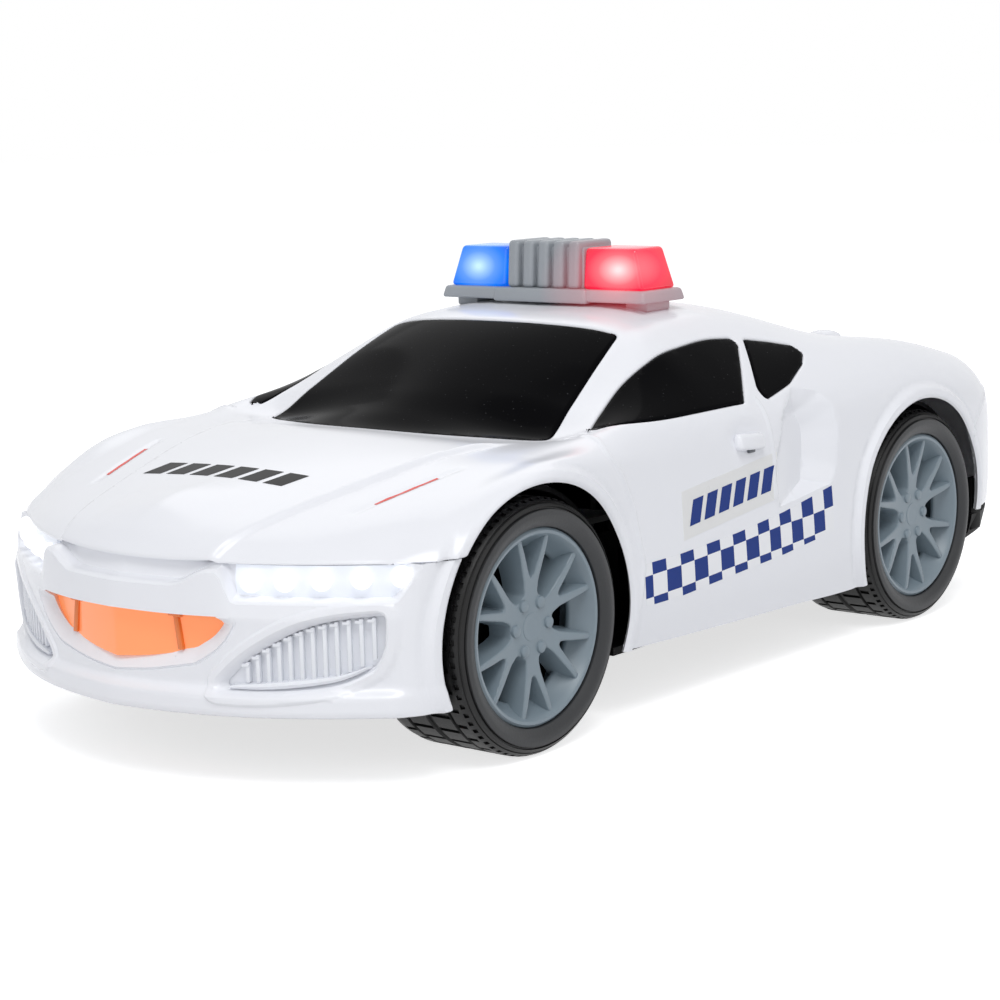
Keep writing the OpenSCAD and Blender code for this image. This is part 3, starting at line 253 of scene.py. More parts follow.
# the car's long lines: station, half width, height
bodyLines = {"centre": [[-156, 0, 52.5], [-150, 0, 57], [-139, 0, 60.8], [-120, 0, 65], [-99, 0, 69],
        [-84, 0, 71], [-69, 0, 71.2], [-59, 0, 75], [-49, 0, 79.8], [-16, 0, 95.4], [1, 0, 97.3],
        [16, 0, 97.8], [36, 0, 96.8], [61, 0, 92.5], [86, 0, 86.5], [111, 0, 80.5], [136, 0, 76],
        [151, 0, 73], [159, 0, 69.5], [161.7, 0, 64]],
    "rail": [[-156, 40, 52.5], [-150, 41, 56.3], [-139, 42, 60], [-120, 44, 64.6], [-99, 46, 68.6],
        [-84, 47, 70], [-69, 48, 70.4], [-56, 48.5, 70.4], [-44, 47, 76.5], [-13, 41, 91.6],
        [1, 40, 93.8], [21, 39.5, 94.5], [41, 39, 93], [61, 38, 89.5], [86, 36, 83.5], [111, 35, 78.8],
        [136, 35, 75.2], [151, 36, 72.2], [159, 36, 68.8], [161.7, 34, 63.4]],
    "belt": [[-156, 60, 52.5], [-150, 60, 55.8], [-139, 60.5, 60.6], [-120, 61, 65.4], [-99, 62, 68.8],
        [-84, 62.5, 70], [-69, 63.5, 71.4], [-56, 65, 72.8], [-39, 65.5, 73.8], [-13, 66, 73.8],
        [7, 66, 73.5], [21, 65, 74], [41, 62.5, 77], [61, 60, 80.5], [86, 57, 82], [111, 57, 79.5],
        [136, 57.5, 74.5], [151, 55, 71], [159, 52, 67], [161.7, 49, 61.8]],
    "shoulder": [[-156, 70, 53.2], [-139, 70.6, 59.8], [-120, 71.2, 66], [-99, 71.6, 68.6],
        [-84, 71.6, 69], [-69, 71, 68.2], [-56, 70, 67.5], [-39, 69.5, 67], [7, 69.3, 67], [21, 69, 67.5],
        [41, 69, 69], [61, 69.5, 70.5], [86, 70.5, 71], [111, 70.5, 69], [136, 68.4, 65.5],
        [151, 64.5, 62.5], [159, 59.5, 60], [161.7, 56, 57]],
    "waist": [[-156, 70.8, 46], [-120, 72, 48], [-84, 72.3, 50], [-56, 71.5, 48], [-13, 71, 46],
        [21, 71.2, 46], [61, 72, 48], [86, 72.6, 50], [111, 72.6, 50], [136, 70.8, 48], [151, 66.5, 46],
        [159, 61.5, 45], [161.7, 58, 45]],
    "sill": [[-156, 70.8, 30], [-120, 72, 30], [-84, 72.3, 30], [-56, 71.8, 29], [-13, 71.5, 28],
        [21, 71.8, 27.5], [61, 72.2, 27], [86, 72.6, 28], [111, 72.6, 30], [136, 70.6, 32],
        [151, 66.3, 32], [159, 61.5, 32], [161.7, 58, 33]],
    "foot": [[-156, 70.3, 20], [-120, 71.4, 20], [-84, 71.8, 20], [-56, 70.8, 18.6], [-13, 70.6, 17.2],
        [21, 70.8, 16.4], [61, 71.2, 15.8], [86, 71.6, 20], [111, 71.6, 22], [136, 69.6, 24],
        [151, 65.3, 24], [159, 60.5, 24], [161.7, 57, 27]]}
# bow of each station across the car, as a share of the half width squared
bowRows = np.array([[-156, .0063], [-120, .0042], [-84, .0015], [-59, .0008], [-29, 0], [101, 0],
                    [136, -.0014], [162, -.0022]])
carBody = {"wall": 2.0, "around": [26, 18, 9, 18, 16, 8], "step": 1.4, "hoodStart": -156.0,
    "bumperStart": 152.0, "seam": 0.15, "tailEnd": 161.7, "lipHeight": 1.3, "roundEdge": 0.7,
    "smallRound": 0.5, "archRadius": 34.7, "archInner": 37, "flank": 60, "valanceTop": 27.6,
    "valanceStart": 112, "inside": (0, 0, 40)}
archLevels = (6.4, 4.7, 4.0, 3.5, 2.8, 1.2, 0.5, 0)
archLip = [(-1, 0.2), (0, 0.4), (0.5, 0.8), (1.2, 1.0), (2.8, 0.95), (3.5, 0.35), (4.0, 0), (4.7, -0.2),
    (6.4, 0)]


def hermite(p, m, w):
    # cubic between two points with their slopes
    return (p[0] * (2 * w**3 - 3 * w**2 + 1) + m[0] * (w**3 - 2 * w**2 + w) + p[1] * (3 * w**2 - 2 * w**3)
            + m[1] * (w**3 - w**2))


def runAlong(rows, s):
    # smooth curve through the rows, first column is the place along it
    rows = np.asarray(rows, float)
    x = rows[:, 0]
    n = np.arange(len(x))
    lo, hi = np.maximum(n - 1, 0), np.minimum(n + 1, len(x) - 1)
    slope = (rows[hi] - rows[lo]) / (x[hi] - x[lo])[:, None]
    i = np.clip(np.searchsorted(x, s, side="right") - 1, 0, len(x) - 2)
    h = (x[i + 1] - x[i])[:, None]
    w = np.clip((s - x[i])[:, None] / h, 0, 1)
    return hermite((rows[i], rows[i + 1]), (slope[i] * h, slope[i + 1] * h), w)[:, 1:]


def skin(around, station):
    # point of the body's outer skin; around runs from 0 at the middle to 6 at the foot, negative on the right
    lines = np.stack([runAlong(rows, station) for rows in bodyLines.values()], 1)
    full = np.concatenate([lines[:, 1:2] * [-1, 1], lines, 2 * lines[:, 6:7] - lines[:, 5:6]], 1)
    t = np.clip(np.abs(around), 0, 5.99999)
    i = t.astype(int)
    w = (t - i)[:, None]
    r = np.arange(len(t))
    p0, p1, p2, p3 = (full[r, i + k] for k in range(4))
    knot = lambda a, b: np.sqrt(np.maximum(0.01, np.linalg.norm(b - a, axis=1)))[:, None]
    d01, d12, d23 = knot(p0, p1), knot(p1, p2), knot(p2, p3)
    m1 = d12 * ((p1 - p0) / d01 - (p2 - p0) / (d01 + d12) + (p2 - p1) / d12)
    m2 = d12 * ((p2 - p1) / d12 - (p3 - p1) / (d12 + d23) + (p3 - p2) / d23)
    p = hermite((p1, p2), (m1, m2), w)
    bow = np.interp(station, bowRows[:, 0], bowRows[:, 1])
    return np.stack([np.sign(around) * p[:, 0], station + bow * p[:, 0] ** 2, p[:, 1]], 1)


def skinNormal(around, station):
    side = np.where(around < 0, -1.0, 1.0)
    a = np.where(np.abs(around) < 0.02, side * 0.02, around)
    a = np.clip(a, -5.97, 5.97)
    du = skin(a + 0.01, station) - skin(a - 0.01, station)
    ds = skin(a, station + 0.2) - skin(a, station - 0.2)
    n = np.cross(ds, du)
    n /= np.linalg.norm(n, axis=1)[:, None] + 1e-9
    n[n[:, 2] * 0.2 + n[:, 0] * side < 0] *= -1
    return n


def smoothStep(a, b, x):
    w = np.clip((x - a) / (b - a), 0, 1)
    return w * w * (3 - 2 * w)


def outline(*runs):
    # closed outline from runs of points; each run is a smooth curve and the runs meet at corners
    out = []
    for run in runs:
        p = np.array(run, float)
        along = np.concatenate([[0], np.cumsum(np.linalg.norm(np.diff(p, axis=0), axis=1))])
        s = np.linspace(0, along[-1], max(2, int(along[-1] / 2.5)) + 1)
        out.append(runAlong(np.column_stack([along, p]), s)[:-1])
    return np.concatenate(out)


def polygon(*points):
    # runs of one straight edge each
    return [[a, b] for a, b in zip(points, points[1:])]


def mirrored(run):
    return [(-x, y) for x, y in reversed(run)]


def barDistance(p, a, b):
    # distance to the nearest of the bars from a to b
    e = b - a
    w = p[:, None] - a[None]
    t = np.clip((w * e).sum(2) / np.maximum(1e-9, (e * e).sum(1)), 0, 1)
    return np.sqrt(((w - t[..., None] * e) ** 2).sum(2)).min(1)


def pathDistance(p, path):
    return barDistance(p, np.array(path[:-1], float), np.array(path[1:], float))


def loopDistance(p, loop):
    # signed distance to a closed outline, negative inside
    a, b = loop, np.roll(loop, -1, 0)
    d, e = barDistance(p, a, b), b - a
    py = p[:, None, 1]
    cross = a[:, 0] + (py - a[:, 1]) * e[:, 0] / np.where(np.abs(e[:, 1]) < 1e-9, 1e-9, e[:, 1])
    inside = (((a[:, 1] > py) != (b[:, 1] > py)) & (p[:, None, 0] < cross)).sum(1) % 2 == 1
    return np.where(inside, -d, d)


# openings of the shell; the corner round is added to each outline
paneRound = 1.6
wsLow = [(46.3, -54.8), (33, -61.4), (17, -65.9), (0, -67.4)]
wsSide = [(38, -14.5), (40.6, -26), (43.6, -41), (46.3, -54.8)]
windscreenLoop = outline(wsLow + mirrored(wsLow)[1:], mirrored(wsSide),
                         [(-38, -14.5), (-20, -17.2), (0, -18), (20, -17.2), (38, -14.5)], wsSide)
rearSide = [(31, 64), (30, 80), (28, 98), (26, 111)]
rearLoop = outline([(-31, 64), (-18, 62.5), (0, 62), (18, 62.5), (31, 64)], rearSide,
                   [(26, 111), (13, 112), (0, 112.4), (-13, 112), (-26, 111)], mirrored(rearSide))
doorLoop = outline([(58.9, -50.8), (56.6, -43), (53.6, -30), (52, -12), (51, 2), (50.4, 14), (50.8, 24.4)],
                   [(50.8, 24.4), (57.5, 15.8), (64.4, 6.6)],
                   [(64.4, 6.6), (64.6, -14), (64.2, -34), (62.4, -45), (58.9, -50.8)])
quarterLoop = outline([(53.6, 29.4), (51.6, 31.4)], [(51.6, 31.4), (53.0, 42), (54.6, 49)],
                      *polygon((54.6, 49), (55.9, 49.5), (58.2, 45.4), (61.8, 33.4), (64.0, 18.9)),
                      [(64.0, 18.9), (57.6, 25.4), (53.6, 29.4)])
doorPaths = [[(-58.2, 72.2), (-60.7, 68.9), (-55.8, 62.3), (-51.5, 54), (-48, 39.6), (-50.1, 28.4)],
    [(13, 73.6), (13.4, 66.5), (14, 58.3), (13.8, 52), (14.2, 47)],
    [(121.5, 51.5), (123.6, 53.1), (127.3, 56), (132.8, 58.8), (138.5, 61.2), (144.5, 63)]]
doorLine = {"height": 0.36, "fade": (0.2, 1.0), "top": 75}

# scoop behind the door: its edges, how far each wall runs in, and its depth
scoop = {"depth": 5.6, "foldRun": (15, 21), "wallRun": (14, 22), "frontWall": 5, "rearWall": 10,
    "floorWall": 3.2, "topWall": 5,
    "front": [(32, 74.9), (22, 69.5), (19, 64.5), (15.4, 57.7), (14.8, 50), (15.8, 44.6)],
    "top": [(32, 74.9), (42.4, 72.9)],
    "rear": [(42.4, 72.9), (46, 68.4), (46.6, 62.5), (44.6, 52), (42, 47.6)],
    "floor": [(15.8, 44.6), (42, 47.6)]}
scoopLoop = outline(scoop["front"], scoop["floor"], scoop["rear"][::-1], scoop["top"][::-1])

# relief of the hood and the hollow behind the door handle
hood = {"rear": -58, "low": 50, "half": 60, "creaseHeight": 1.2, "creaseFade": 0.9, "creaseRear": -60,
    "creaseFrom": (-156, -149), "creaseTo": (-78, -64),
    "crease": [(-150, 26), (-147, 27), (-128, 32), (-105, 38), (-80, 43), (-57, 48)], "ridgeHeight": 1.7,
    "ridgeHalf": 18, "ridgeFrom": (-154, -142), "ridgeTo": (-138, -119),
    "groove": [(44.4, -124), (45.8, -118), (50.2, -100.5), (51.4, -95)], "grooveDepth": 0.45,
    "grooveHalf": 0.9, "edgeHeight": 52.75, "edgeDepth": 3.5, "edgeRise": 1.1, "edgeOuter": 56}
hollow = {"place": (2.2, 65.8), "half": (7.5, 3.4), "depth": 0.9}
noseTip = {"y": -161.7, "bow": 0.0063, "fold": 0.06, "foldHalf": 22, "top": 52.7, "depth": 21}
deckHole = {"place": (20, 122), "radius": 5.9, "above": 60}


def plan(p):
    return np.stack([np.abs(p[:, 0]), p[:, 1]], 1)


def flank(p):
    return p[:, 1:]


def onSide(p, d):
    return np.where(np.abs(p[:, 0]) > carBody["flank"], d, far)


def paneField(loop, placeOf, above):
    return lambda p: np.where(p[:, 2] > above, loopDistance(placeOf(p), loop) - paneRound, far)


windscreenField = paneField(windscreenLoop, lambda p: p[:, :2], 60)
rearWindowField = paneField(rearLoop, lambda p: p[:, :2], -far)
doorWindowField = paneField(doorLoop, plan, 68)
quarterWindowField = paneField(quarterLoop, plan, 68)
paneFields = (windscreenField, rearWindowField, doorWindowField, quarterWindowField)


def archField(p):
    r = np.minimum(*[np.hypot(p[:, 1] - y, p[:, 2] - z) for y, z in axleAt.values()])
    return np.where(np.abs(p[:, 0]) > carBody["archInner"], r - carBody["archRadius"], far)


def noseLine(x):
    # plan line of the nose with its soft middle fold
    x, s = np.abs(x), noseTip
    return s["y"] + s["bow"] * x**2 + s["fold"] * x * np.exp(-((x / s["foldHalf"]) ** 2))


def noseField(p):
    s = noseTip
    return np.maximum(p[:, 2] - s["top"], p[:, 1] - (s["y"] + s["bow"] * p[:, 0] ** 2 + s["depth"]))


def valanceField(p):
    return np.where(p[:, 1] > carBody["valanceStart"], p[:, 2] - carBody["valanceTop"], far)


def buttonField(p):
    (x, y), r = deckHole["place"], deckHole["radius"]
    return np.where(p[:, 2] > deckHole["above"], np.hypot(np.abs(p[:, 0]) - x, p[:, 1] - y) - r, far)


def hoodCrease(p):
    edge = np.interp(p[:, 1], *zip(*hood["crease"]))
    return np.where((p[:, 2] > hood["low"]) & (p[:, 1] < hood["creaseRear"]), np.abs(p[:, 0]) - edge, far)


def doorField(p):
    d = np.minimum.reduce([pathDistance(flank(p), path) for path in doorPaths])
    return onSide(p, np.where(p[:, 2] < doorLine["top"], d, far))


def scoopField(p):
    return onSide(p, loopDistance(flank(p), scoopLoop))


def scoopParts(q):
    # share of the depth that the front run, the rear wall and the floor each allow
    start, run = scoop["foldRun"]
    return ((q[:, 0] - start) / run, pathDistance(q, scoop["rear"]) / scoop["rearWall"],
            pathDistance(q, scoop["floor"]) / scoop["floorWall"])


def scoopFold(p):
    front, rear, _ = scoopParts(flank(p))
    return np.where(scoopField(p) < 1, front - rear, far)


def scoopLedge(p):
    front, rear, low = scoopParts(flank(p))
    return np.where(scoopField(p) < 1, np.minimum(front, rear) - low, far)


def coords(bm):
    return np.array([v.co[:] for v in bm.verts]) / mm


def setCoords(bm, p):
    for v, c in zip(bm.verts, p * mm):
        v.co = c


def score(bm, field, *levels):
    # cuts lines of edges into the sheet where the field has these levels
    for level in levels:
        bm.verts.index_update()
        f = field(coords(bm)) - level
        pairs = np.array([(e.verts[0].index, e.verts[1].index) for e in bm.edges])
        fa, fb = f[pairs[:, 0]], f[pairs[:, 1]]
        hit = np.flatnonzero(((fa < 0) != (fb < 0)) & (np.abs(fa) < 8) & (np.abs(fb) < 8))
        bm.edges.ensure_lookup_table()
        work = [(bm.edges[i], fa[i] / (fa[i] - fb[i])) for i in hit]
        fresh = [bmesh.utils.edge_split(e, e.verts[0], float(min(max(c, 0.002), 0.998)))[1] for e, c in work]
        bmesh.ops.connect_verts(bm, verts=fresh)


def dropFaces(bm, field, keepInside=False, level=0.0):
    co = np.array([f.calc_center_median()[:] for f in bm.faces]) / mm
    bad = (field(co) - level < 0) != keepInside
    bmesh.ops.delete(bm, geom=[f for f, b in zip(list(bm.faces), bad) if b], context="FACES")


def skinSheet(start, end, step):
    # grid laid on the body lines, each vertex keeps its place on them
    counts = np.array(carBody["around"])
    total = int(counts.sum())
    rows = max(2, int(round((end - start) / step)))
    bm = bmesh.new()
    aroundKey = bm.verts.layers.float.new("around")
    stationKey = bm.verts.layers.float.new("station")
    bmesh.ops.create_grid(bm, x_segments=2 * total, y_segments=rows, size=1)
    ends = np.concatenate([[0], np.cumsum(counts)])
    for v in bm.verts:
        v[aroundKey] = math.copysign(float(np.interp(abs(v.co.x) * total, ends, np.arange(7))), v.co.x)
        v[stationKey] = start + (v.co.y + 1) / 2 * (end - start)
    settle(bm)
    return bm


def places(bm):
    keys = [bm.verts.layers.float[label] for label in ("around", "station")]
    return [np.array([v[key] for v in bm.verts]) for key in keys]


def settle(bm, lift=None):
    # puts each vertex back on the exact skin, then moves it by the lift
    around, station = places(bm)
    p = skin(around, station)
    if lift is not None:
        p = p + lift(p, skinNormal(around, station), np.where(around < 0, -1.0, 1.0))
    setCoords(bm, p)


def edgeRound(f, r):
    # fall of a rounded edge at distance f from the opening
    return np.where(f < r, r - np.sqrt(np.maximum(0, r * r - (r - np.clip(f, 0, r)) ** 2)), 0)


def lipProfile(f):
    return np.interp(f, *zip(*archLip))


def shellLift(p, n, side):
    b, h = carBody, hood
    up = np.zeros(len(p))
    x, y, z = np.abs(p[:, 0]), p[:, 1], p[:, 2]
    onHood = (y < h["rear"]) & (z > h["low"]) & (x < h["half"])
    ends = smoothStep(*h["creaseFrom"], y) * (1 - smoothStep(*h["creaseTo"], y))
    inner = 1 - smoothStep(-h["creaseFade"], h["creaseFade"], hoodCrease(p))
    up += np.where(onHood, h["creaseHeight"] * ends * inner, 0)
    ends = smoothStep(*h["ridgeFrom"], y) * (1 - smoothStep(*h["ridgeTo"], y))
    up += np.where(onHood, h["ridgeHeight"] * ends * np.clip(1 - x / h["ridgeHalf"], 0, 1), 0)
    groove = pathDistance(plan(p), h["groove"]) / h["grooveHalf"]
    up -= np.where(onHood, h["grooveDepth"] * np.exp(-(groove ** 2)), 0)
    up += doorLine["height"] * (1 - smoothStep(*doorLine["fade"], doorField(p)))
    dish = sum(((c - at) / half) ** 2 for c, at, half in zip((y, z), hollow["place"], hollow["half"]))
    up -= np.where(x > b["flank"], hollow["depth"] * np.exp(-dish ** 2), 0)
    q = flank(p)
    start, run = scoop["wallRun"]
    wallIn = np.minimum((q[:, 0] - start) / run, pathDistance(q, scoop["front"]) / scoop["frontWall"])
    deep = np.minimum.reduce([np.maximum(0, wallIn), *scoopParts(q)[1:],
                              pathDistance(q, scoop["top"]) / scoop["topWall"]])
    up -= np.where(scoopField(p) < 0, scoop["depth"] * deep, 0)
    for field in paneFields:
        up -= edgeRound(field(p), b["roundEdge"])
    up -= edgeRound(buttonField(p), b["smallRound"]) + edgeRound(noseField(p), b["smallRound"])
    out = n * up[:, None]
    front = y - (b["hoodStart"] + bowRows[0, 1] * x * x)
    over = np.maximum(0, z - h["edgeHeight"] - h["edgeRise"] * np.maximum(0, front))
    out[:, 2] -= np.where((front < h["edgeDepth"]) & (x > h["edgeOuter"]), over, 0)
    upright = np.clip(np.abs(n[:, 0]) * 1.6 - 0.3, 0, 1)
    out[:, 0] += side * b["lipHeight"] * lipProfile(archField(p)) * upright
    return out


def finishPiece(bm, name, mats, body, nodes=(), angle=32):
    # mesh and object of a finished piece, riding on its body
    bmesh.ops.remove_doubles(bm, verts=bm.verts, dist=weld["piece"])
    mesh = bpy.data.meshes.new(name)
    bm.to_mesh(mesh)
    bm.free()
    mesh.shade_smooth()
    mesh.set_sharp_from_angle(angle=math.radians(angle))
    for m in mats if isinstance(mats, list) else [mats]:
        mesh.materials.append(finishes[m] if isinstance(m, str) else m)
    obj = link(bpy.data.objects.new(name, mesh))
    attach(obj, body)
    if nodes:
        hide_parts(*nodes)


def wall(bm, thickness):
    # gives an open sheet its thickness inwards
    mesh = bpy.data.meshes.new("sheetWork")
    bm.to_mesh(mesh)
    bm.free()
    obj = link(bpy.data.objects.new("sheetWork", mesh))
    mod = obj.modifiers.new("wall", "SOLIDIFY")
    mod.thickness = thickness * mm
    mod.offset = -1
    done = bpy.data.meshes.new_from_object(obj.evaluated_get(bpy.context.evaluated_depsgraph_get()))
    out = bmesh.new()
    out.from_mesh(done)
    bpy.data.objects.remove(obj)
    bpy.data.meshes.remove(mesh)
    bpy.data.meshes.remove(done)
    return out


def turnOut(bm, inside, merge=False):
    # turns the sheet so that its faces look away from a point inside
    if merge:
        bmesh.ops.remove_doubles(bm, verts=bm.verts, dist=weld["sheet"])
    bm.normal_update()
    f = max(bm.faces, key=lambda face: face.calc_area())
    if (f.calc_center_median() - Vector(inside) * mm).dot(f.normal) < 0:
        bmesh.ops.reverse_faces(bm, faces=bm.faces)
    bm.normal_update()
    return bm


shellCuts = [(field, (0.7, 0.3, 0.08, 0)) for field in paneFields]
shellCuts += [(archField, archLevels), (doorField, (1.0, 0.6, 0.2)), (hoodCrease, (0.9, 0, -0.9)),
              (scoopField, (0, -0.5)), (scoopFold, (0,)), (scoopLedge, (0,)), (buttonField, (0.5, 0.1, 0)),
              (noseField, (0.5, 0.1, 0)), (valanceField, (0,))]


def buildShell(s):
    bm = skinSheet(s["hoodStart"], s["bumperStart"] - s["seam"], s["step"])
    for field, levels in shellCuts:
        score(bm, field, *levels)
    for field in paneFields + (archField, buttonField, noseField, valanceField):
        dropFaces(bm, field)
    settle(bm, shellLift)
    turnOut(bm, s["inside"], True)
    tree = BVHTree.FromBMesh(bm)
    finishPiece(wall(bm, s["wall"]), "bodyShell", "shellWhite", "car", ["body_shell"], 40)
    return tree


shellTree = buildShell(carBody)
print("shell built")


def onFlank(y, z, side, lift=0.06):
    # point of the built shell's side at this place
    hit = shellTree.ray_cast(Vector((side * 0.2, y * mm, z * mm)), Vector((-side, 0, 0)))[0]
    return Vector((hit.x + side * lift * mm, hit.y, hit.z))


def onTop(x, y, lift=0.06):
    hit = shellTree.ray_cast(Vector((x * mm, y * mm, 0.2)), Vector((0, 0, -1)))[0]
    return Vector((hit.x, hit.y, hit.z + lift * mm))


# window panels, set a little below the shell
pane = {"step": 1.6, "inset": 0.1, "levels": (-0.1, -0.3, -0.7), "sink": 0.15, "round": 0.6, "wall": 1.6}


def buildPane(s, name, node, field, start, end, side=0):
    bm = skinSheet(start, end, s["step"])
    score(bm, field, *s["levels"])
    dropFaces(bm, field, True, -s["inset"])
    if side:
        dropFaces(bm, lambda p: p[:, 0] * side)
    settle(bm, lambda p, n, _: -n * (s["sink"] + edgeRound(-field(p) - s["inset"], s["round"]))[:, None])
    turnOut(bm, carBody["inside"], True)
    finishPiece(wall(bm, s["wall"]), name, "panelBlack", "car", [node], 40)


buildPane(pane, "windscreenPanel", "windscreen", windscreenField, -72, -8)
buildPane(pane, "rearWindowPanel", "rear_window", rearWindowField, 56, 118)
for side, word in hands:
    low = word.lower()
    buildPane(pane, "doorWindow" + word, "door_window_" + low, doorWindowField, -58, 30, side)
    buildPane(pane, "quarterWindow" + word, "quarter_window_" + low, quarterWindowField, 14, 56, side)
print("windows built")

# rear bumper: the end of the skin, closed by a rounded tail
rearBumper = {"wall": 2.0, "step": 1.0, "capSteps": 14, "capRise": 1.2, "capStep": 0.6, "capSlope": 0.05,
    "inside": (0, 100, 45)}


def tailBow(x):
    return bowRows[-1, 1] * x * x


def buildRearBumper(s):
    end, middle = carBody["tailEnd"], carBody["valanceTop"] * mm
    bm = skinSheet(carBody["bumperStart"] + carBody["seam"], end, s["step"])
    score(bm, valanceField, 0)
    dropFaces(bm, valanceField)
    settle(bm)
    key = bm.verts.layers.float["station"]
    edge = [e for e in bm.edges if e.is_boundary and all(abs(v[key] - end) < 0.01 for v in e.verts)]
    for k in range(s["capSteps"]):
        made = bmesh.ops.extrude_edge_only(bm, edges=edge)["geom"]
        ring = [g for g in made if isinstance(g, bmesh.types.BMVert)]
        edge = [g for g in made if isinstance(g, bmesh.types.BMEdge) and all(v in ring for v in g.verts)]
        keep = 1 - 1 / (s["capSteps"] - k)
        rise = min(s["capRise"], s["capStep"] * (k + 1)) + s["capSlope"] * k
        for v in ring:
            v.co.x *= keep
            v.co.z = middle + (v.co.z - middle) * keep
            v.co.y = (end + tailBow(v.co.x / mm) + rise) * mm
    turnOut(bm, s["inside"], True)
    finishPiece(wall(bm, s["wall"]), "rearBumper", "shellWhite", "car", ["rear_bumper"], 40)


buildRearBumper(rearBumper)
print("rear bumper built")

# front bumper
grilleSide = [(29, 40), (26.4, 36.6), (21.4, 33.4)]
grilleLow = [(21.4, 33.4), (10, 31.4), (0, 30.4)]
grilleLoop = outline([(-29, 40), (-15, 40), (0, 40.2), (15, 40), (29, 40)], grilleSide, grilleLow,
                     mirrored(grilleLow), mirrored(grilleSide))
ventLoop = outline([(30, 25), (34, 29), (40, 33.5), (47, 37.4), (54, 39.4), (61.4, 40.2)],
                   [(61.4, 40.2), (60.8, 34), (59, 30)],
                   [(59, 30), (54, 27.2), (46, 25.6), (38, 24.9), (30, 25)])
frontBumper = {"wall": 2.2, "step": 1.2, "rows": [6, 1, 3, 2, 6, 12, 7, 1, 2, 1, 4, 1, 1, 4],
    "holeRound": 0.8, "grilleRim": [(0, 2.6), (0.4, 2.3), (3.2, 0), (3.35, 0.4), (3.7, 0.4), (3.9, 0)],
    "ventRim": [(0, 2.0), (0.4, 1.4), (1.0, -0.1), (1.6, -0.7), (3.0, -0.6), (3.7, 0)],
    "grilleFade": (38.6, 40.6), "grilleRear": -120, "inside": (0, -100, 35)}
# a ledge is its low height, its rise, and where the rise starts and ends
# the profiles run from the hood to the underside
noseShape = {"near": 0.3, "middle": (48.2, 3.6, 17, 28), "under": (44.8, 7.4, 65.5, 70.2),
    "blend": (29.6, 33.4), "side": (64.5, 68.5), "corner": (67.4, 69.8), "top": (52.4, 52.3),
    "ledge": (0.6, 0, -0.5, -1.1),
    "deep": [7.4, 6.4, 5.9, 2.6, 1.9, 1.3, 2.0, 2.4, 2.1, 0.5, 0.15, 0.0, 0.3, 0.9, 6.0],
    "flat": [7.4, 6.4, 5.9, 2.0, 1.2, 1.0, 1.1, 1.1, 1.1, 0.9, 0.8, 0.7, 0.8, 1.2, 6.0],
    "below": [40.5, 30, 24.8, 24.2, 22.9, 22.4, 18.8, 18.1, 17.8, 17.8],
    "corners": [(65.4, -134.8), (68.6, -130.6), (70.3, -126.6), (71.0, -122.6), (71.3, -118)]}


def grilleField(p):
    d = loopDistance(p[:, [0, 2]], grilleLoop) - frontBumper["holeRound"]
    return np.where(p[:, 1] < frontBumper["grilleRear"], d, far)


def ventField(p):
    return loopDistance(np.stack([np.abs(p[:, 0]), p[:, 2]], 1), ventLoop) - frontBumper["holeRound"]


def noseShelf(a):
    # height of the ledge under the lamps; it rises to the hood between them and at the corners
    ramp = lambda low, rise, start, end: low + rise * smoothStep(start, end, a)
    w = smoothStep(*noseShape["blend"], a)
    return ramp(*noseShape["middle"]) * (1 - w) + ramp(*noseShape["under"]) * w


def noseProfile(x):
    s, a, one = noseShape, np.abs(x), np.ones_like(x)
    top = noseShelf(a)
    high = [s["top"][0] * one, np.minimum(top + s["ledge"][0], s["top"][1])]
    high += [top + step for step in s["ledge"][1:]] + [z * one for z in s["below"]]
    side, corner = smoothStep(*s["side"], a), smoothStep(*s["corner"], a)
    deep = [(1 - side) * d + side * f for d, f in zip(s["deep"], s["flat"])]
    deep[:5] = [(1 - corner) * d + corner for d in deep[:5]]
    return np.stack(deep, 1), np.stack(high, 1)


halfNose = np.array([(x, float(noseLine(np.array(x)))) for x in np.linspace(0, 61, 26)] + noseShape["corners"])
noseAlong = np.concatenate([[0], np.cumsum(np.linalg.norm(np.diff(halfNose, axis=0), axis=1))])
noseRows = np.column_stack([noseAlong, halfNose])


def nosePoint(along, row):
    # point of the bumper's skin from its place along the plan line and down the profile
    a = np.abs(along)
    p = runAlong(noseRows, a)
    near = noseShape["near"]
    tangent = runAlong(noseRows, np.minimum(a + near, noseAlong[-1]))
    tangent -= runAlong(noseRows, np.maximum(a - near, 0))
    tangent[a < near] = (1, 0)
    tangent /= np.linalg.norm(tangent, axis=1)[:, None]
    deep, high = noseProfile(p[:, 0])
    i = np.clip(row.astype(int), 0, deep.shape[1] - 2)
    w = row - i
    r = np.arange(len(row))
    d, z = (part[r, i] * (1 - w) + part[r, i + 1] * w for part in (deep, high))
    x = p[:, 0] - tangent[:, 1] * d
    return np.stack([np.sign(along) * x, p[:, 1] + tangent[:, 0] * d, z], 1)


